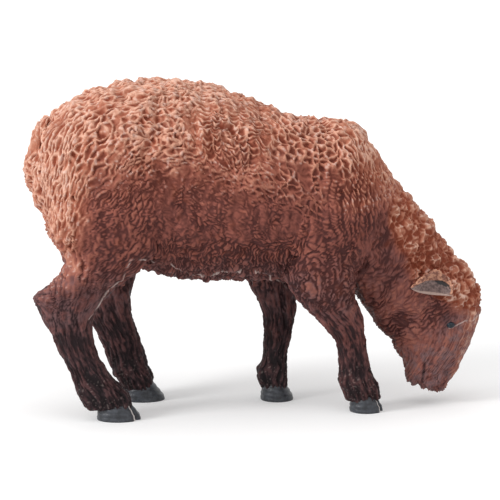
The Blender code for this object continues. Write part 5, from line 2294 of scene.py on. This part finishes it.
@dataclass
class Studio:
    """Floor, soft light and a camera at the photograph's angle.

    Attributes:
        azimuth: of the camera round the object, in degrees.
        elevation: above the horizon.
        distance: from the aim, in mm.
        pixel: what a pixel spans at that distance.
        picture: the picture's side in pixels.
        aim: what the camera looks at.
        sensor: width of the camera's sensor, in its own mm.
        clip: what the camera sees, from near to far, in metres.
        daylight: strength of the world's light on the object.
        floor_reach: from the middle to the floor's edges, in metres.
        floor_white: the floor's colour.
        floor_glow: how it glows, near the object and far from it.
        glow_span: where near and far are, in metres.
        lamps: name, place in metres, side and power of each square lamp.
    """

    azimuth: float = -5.5
    elevation: float = 11.0
    distance: float = 620.0
    pixel: float = 0.1956
    picture: int = 500
    aim: tuple = (-0.9, 0.0, 31.4)
    sensor: float = 36.0
    clip: Span = (0.01, 20.0)
    daylight: float = 0.66
    floor_reach: float = 3.0
    floor_white: tuple = (0.8, 0.8, 0.8, 1.0)
    floor_glow: Span = (0.22, 0.5)
    glow_span: Span = (0.05, 0.45)
    lamps: tuple = (
        ("overhead", (-0.05, -0.12, 0.85), 0.8, 2.4),
        ("left", (-0.80, -0.35, 0.50), 0.30, 5.5),
    )

    def camera(self) -> None:
        """Place the camera so that a pixel spans its share of the picture."""
        turn, rise = math.radians(self.azimuth), math.radians(self.elevation)
        back = Vector((math.sin(turn) * math.cos(rise), -math.cos(turn) * math.cos(rise), math.sin(rise)))
        data = bpy.data.cameras.new("camera")
        data.sensor_width = self.sensor
        data.lens = self.sensor * self.distance / (self.picture * self.pixel)
        data.clip_start, data.clip_end = self.clip
        seat = bpy.data.objects.new("camera", data)
        seat.location = (Vector(self.aim) + back * self.distance) * MM
        seat.rotation_euler = (-back).to_track_quat("-Z", "Y").to_euler()
        bpy.context.scene.collection.objects.link(seat)
        bpy.context.scene.camera = seat

    def floor(self) -> None:
        """A white floor that keeps the shadow, and glows further out for the eye."""
        mesh = bpy.data.meshes.new("floor")
        reach = self.floor_reach
        corners = [(-reach, -reach, 0.0), (reach, -reach, 0.0), (reach, reach, 0.0), (-reach, reach, 0.0)]
        mesh.from_pydata(corners, [], [(0, 1, 2, 3)])
        plane = bpy.data.objects.new("floor", mesh)
        bpy.context.scene.collection.objects.link(plane)
        shader = Shader.new("white_floor")
        shader.set(Base_Color=self.floor_white, Roughness=1.0, Specular_IOR_Level=0.0)
        glow = shader.add("ShaderNodeEmission")
        away = shader.add("ShaderNodeVectorMath", operation="LENGTH")
        shader.join(shader.add("ShaderNodeTexCoord").outputs["Object"], away.inputs[0])
        far = shader.ranged(away.outputs["Value"], self.glow_span, self.floor_glow)
        shader.join(shader.times(self.seen(shader), far), glow.inputs["Strength"])
        total = shader.add("ShaderNodeAddShader")
        shader.join(shader.surface.outputs["BSDF"], total.inputs[0])
        shader.join(glow.outputs["Emission"], total.inputs[1])
        output = shader.material.node_tree.nodes["Material Output"]
        shader.join(total.outputs["Shader"], output.inputs["Surface"])
        mesh.materials.append(shader.material)

    @staticmethod
    def seen(shader: Shader) -> Socket:
        """1 for rays from the camera and off gloss or through glass, else 0."""
        path = shader.add("ShaderNodeLightPath").outputs
        total = path["Is Camera Ray"]
        for ray in ("Is Glossy Ray", "Is Transmission Ray"):
            both = shader.add("ShaderNodeMath", operation="ADD", use_clamp=True)
            shader.join(total, both.inputs[0])
            shader.join(path[ray], both.inputs[1])
            total = both.outputs["Value"]
        return total

    def lamp(self, name: str, place: tuple, side: float, power: float) -> None:
        """A square soft lamp that looks at the aim."""
        data = bpy.data.lights.new(name, "AREA")
        data.size = side
        data.energy = power
        lamp = bpy.data.objects.new(name, data)
        lamp.location = place
        way = Vector(self.aim) * MM - Vector(place)
        lamp.rotation_euler = way.to_track_quat("-Z", "Y").to_euler()
        bpy.context.scene.collection.objects.link(lamp)

    def sky(self) -> None:
        """A world that lights softly and shows white to the camera."""
        world = bpy.data.worlds.new("studio")
        world.use_nodes = True
        bpy.context.scene.world = world
        tree = world.node_tree
        background = tree.nodes["Background"]
        background.inputs["Color"].default_value = (1.0, 1.0, 1.0, 1.0)
        spread = tree.nodes.new("ShaderNodeMapRange")
        spread.inputs["To Min"].default_value = self.daylight
        spread.inputs["To Max"].default_value = 1.0
        tree.links.new(self.seen(Shader(world)), spread.inputs["Value"])
        tree.links.new(spread.outputs["Result"], background.inputs["Strength"])

    def build(self) -> None:
        """Set up the whole studio."""
        self.camera()
        self.floor()
        self.sky()
        for lamp in self.lamps:
            self.lamp(*lamp)
        bpy.context.scene.view_settings.view_transform = "Standard"


def main() -> None:
    """Build the sub-assemblies in order and report each piece."""
    logging.basicConfig(level=logging.INFO, format="%(message)s")
    Studio().build()
    sizes = Build()
    shapes = leg_shapes()
    trunk = trunk_loft(sizes)
    skin = Skin({"trunk": trunk, **{shape.node: shape.loft(sizes) for shape in shapes}})
    wool = Wool(trunk, [skin.lofts[shape.node] for shape in shapes])
    Trunk(skin, wool, PaintedWool("fleece_paint"), rings_count=150, points_count=600).build()
    head = Head(skin, wool, PaintedWool("face_paint"), rings_count=330, points_count=296)
    head.build()
    head.eyes()
    leg_paint = PaintedWool("leg_paint")
    horn = PaintedHorn().material()
    for shape in shapes:
        Leg(skin, wool, leg_paint, rings_count=290, points_count=170, shape=shape).build()
        Hoof(shape, sizes).build(horn)
    tail_paint = PaintedWool("tail_paint")
    Tail(skin, wool, tail_paint, rings_count=100, points_count=90, sizes=sizes).build()
    ear_finish = PaintedEar().material()
    for side in Side:
        Ear(side, sizes).build(ear_finish)


if __name__ == "__main__":
    main()
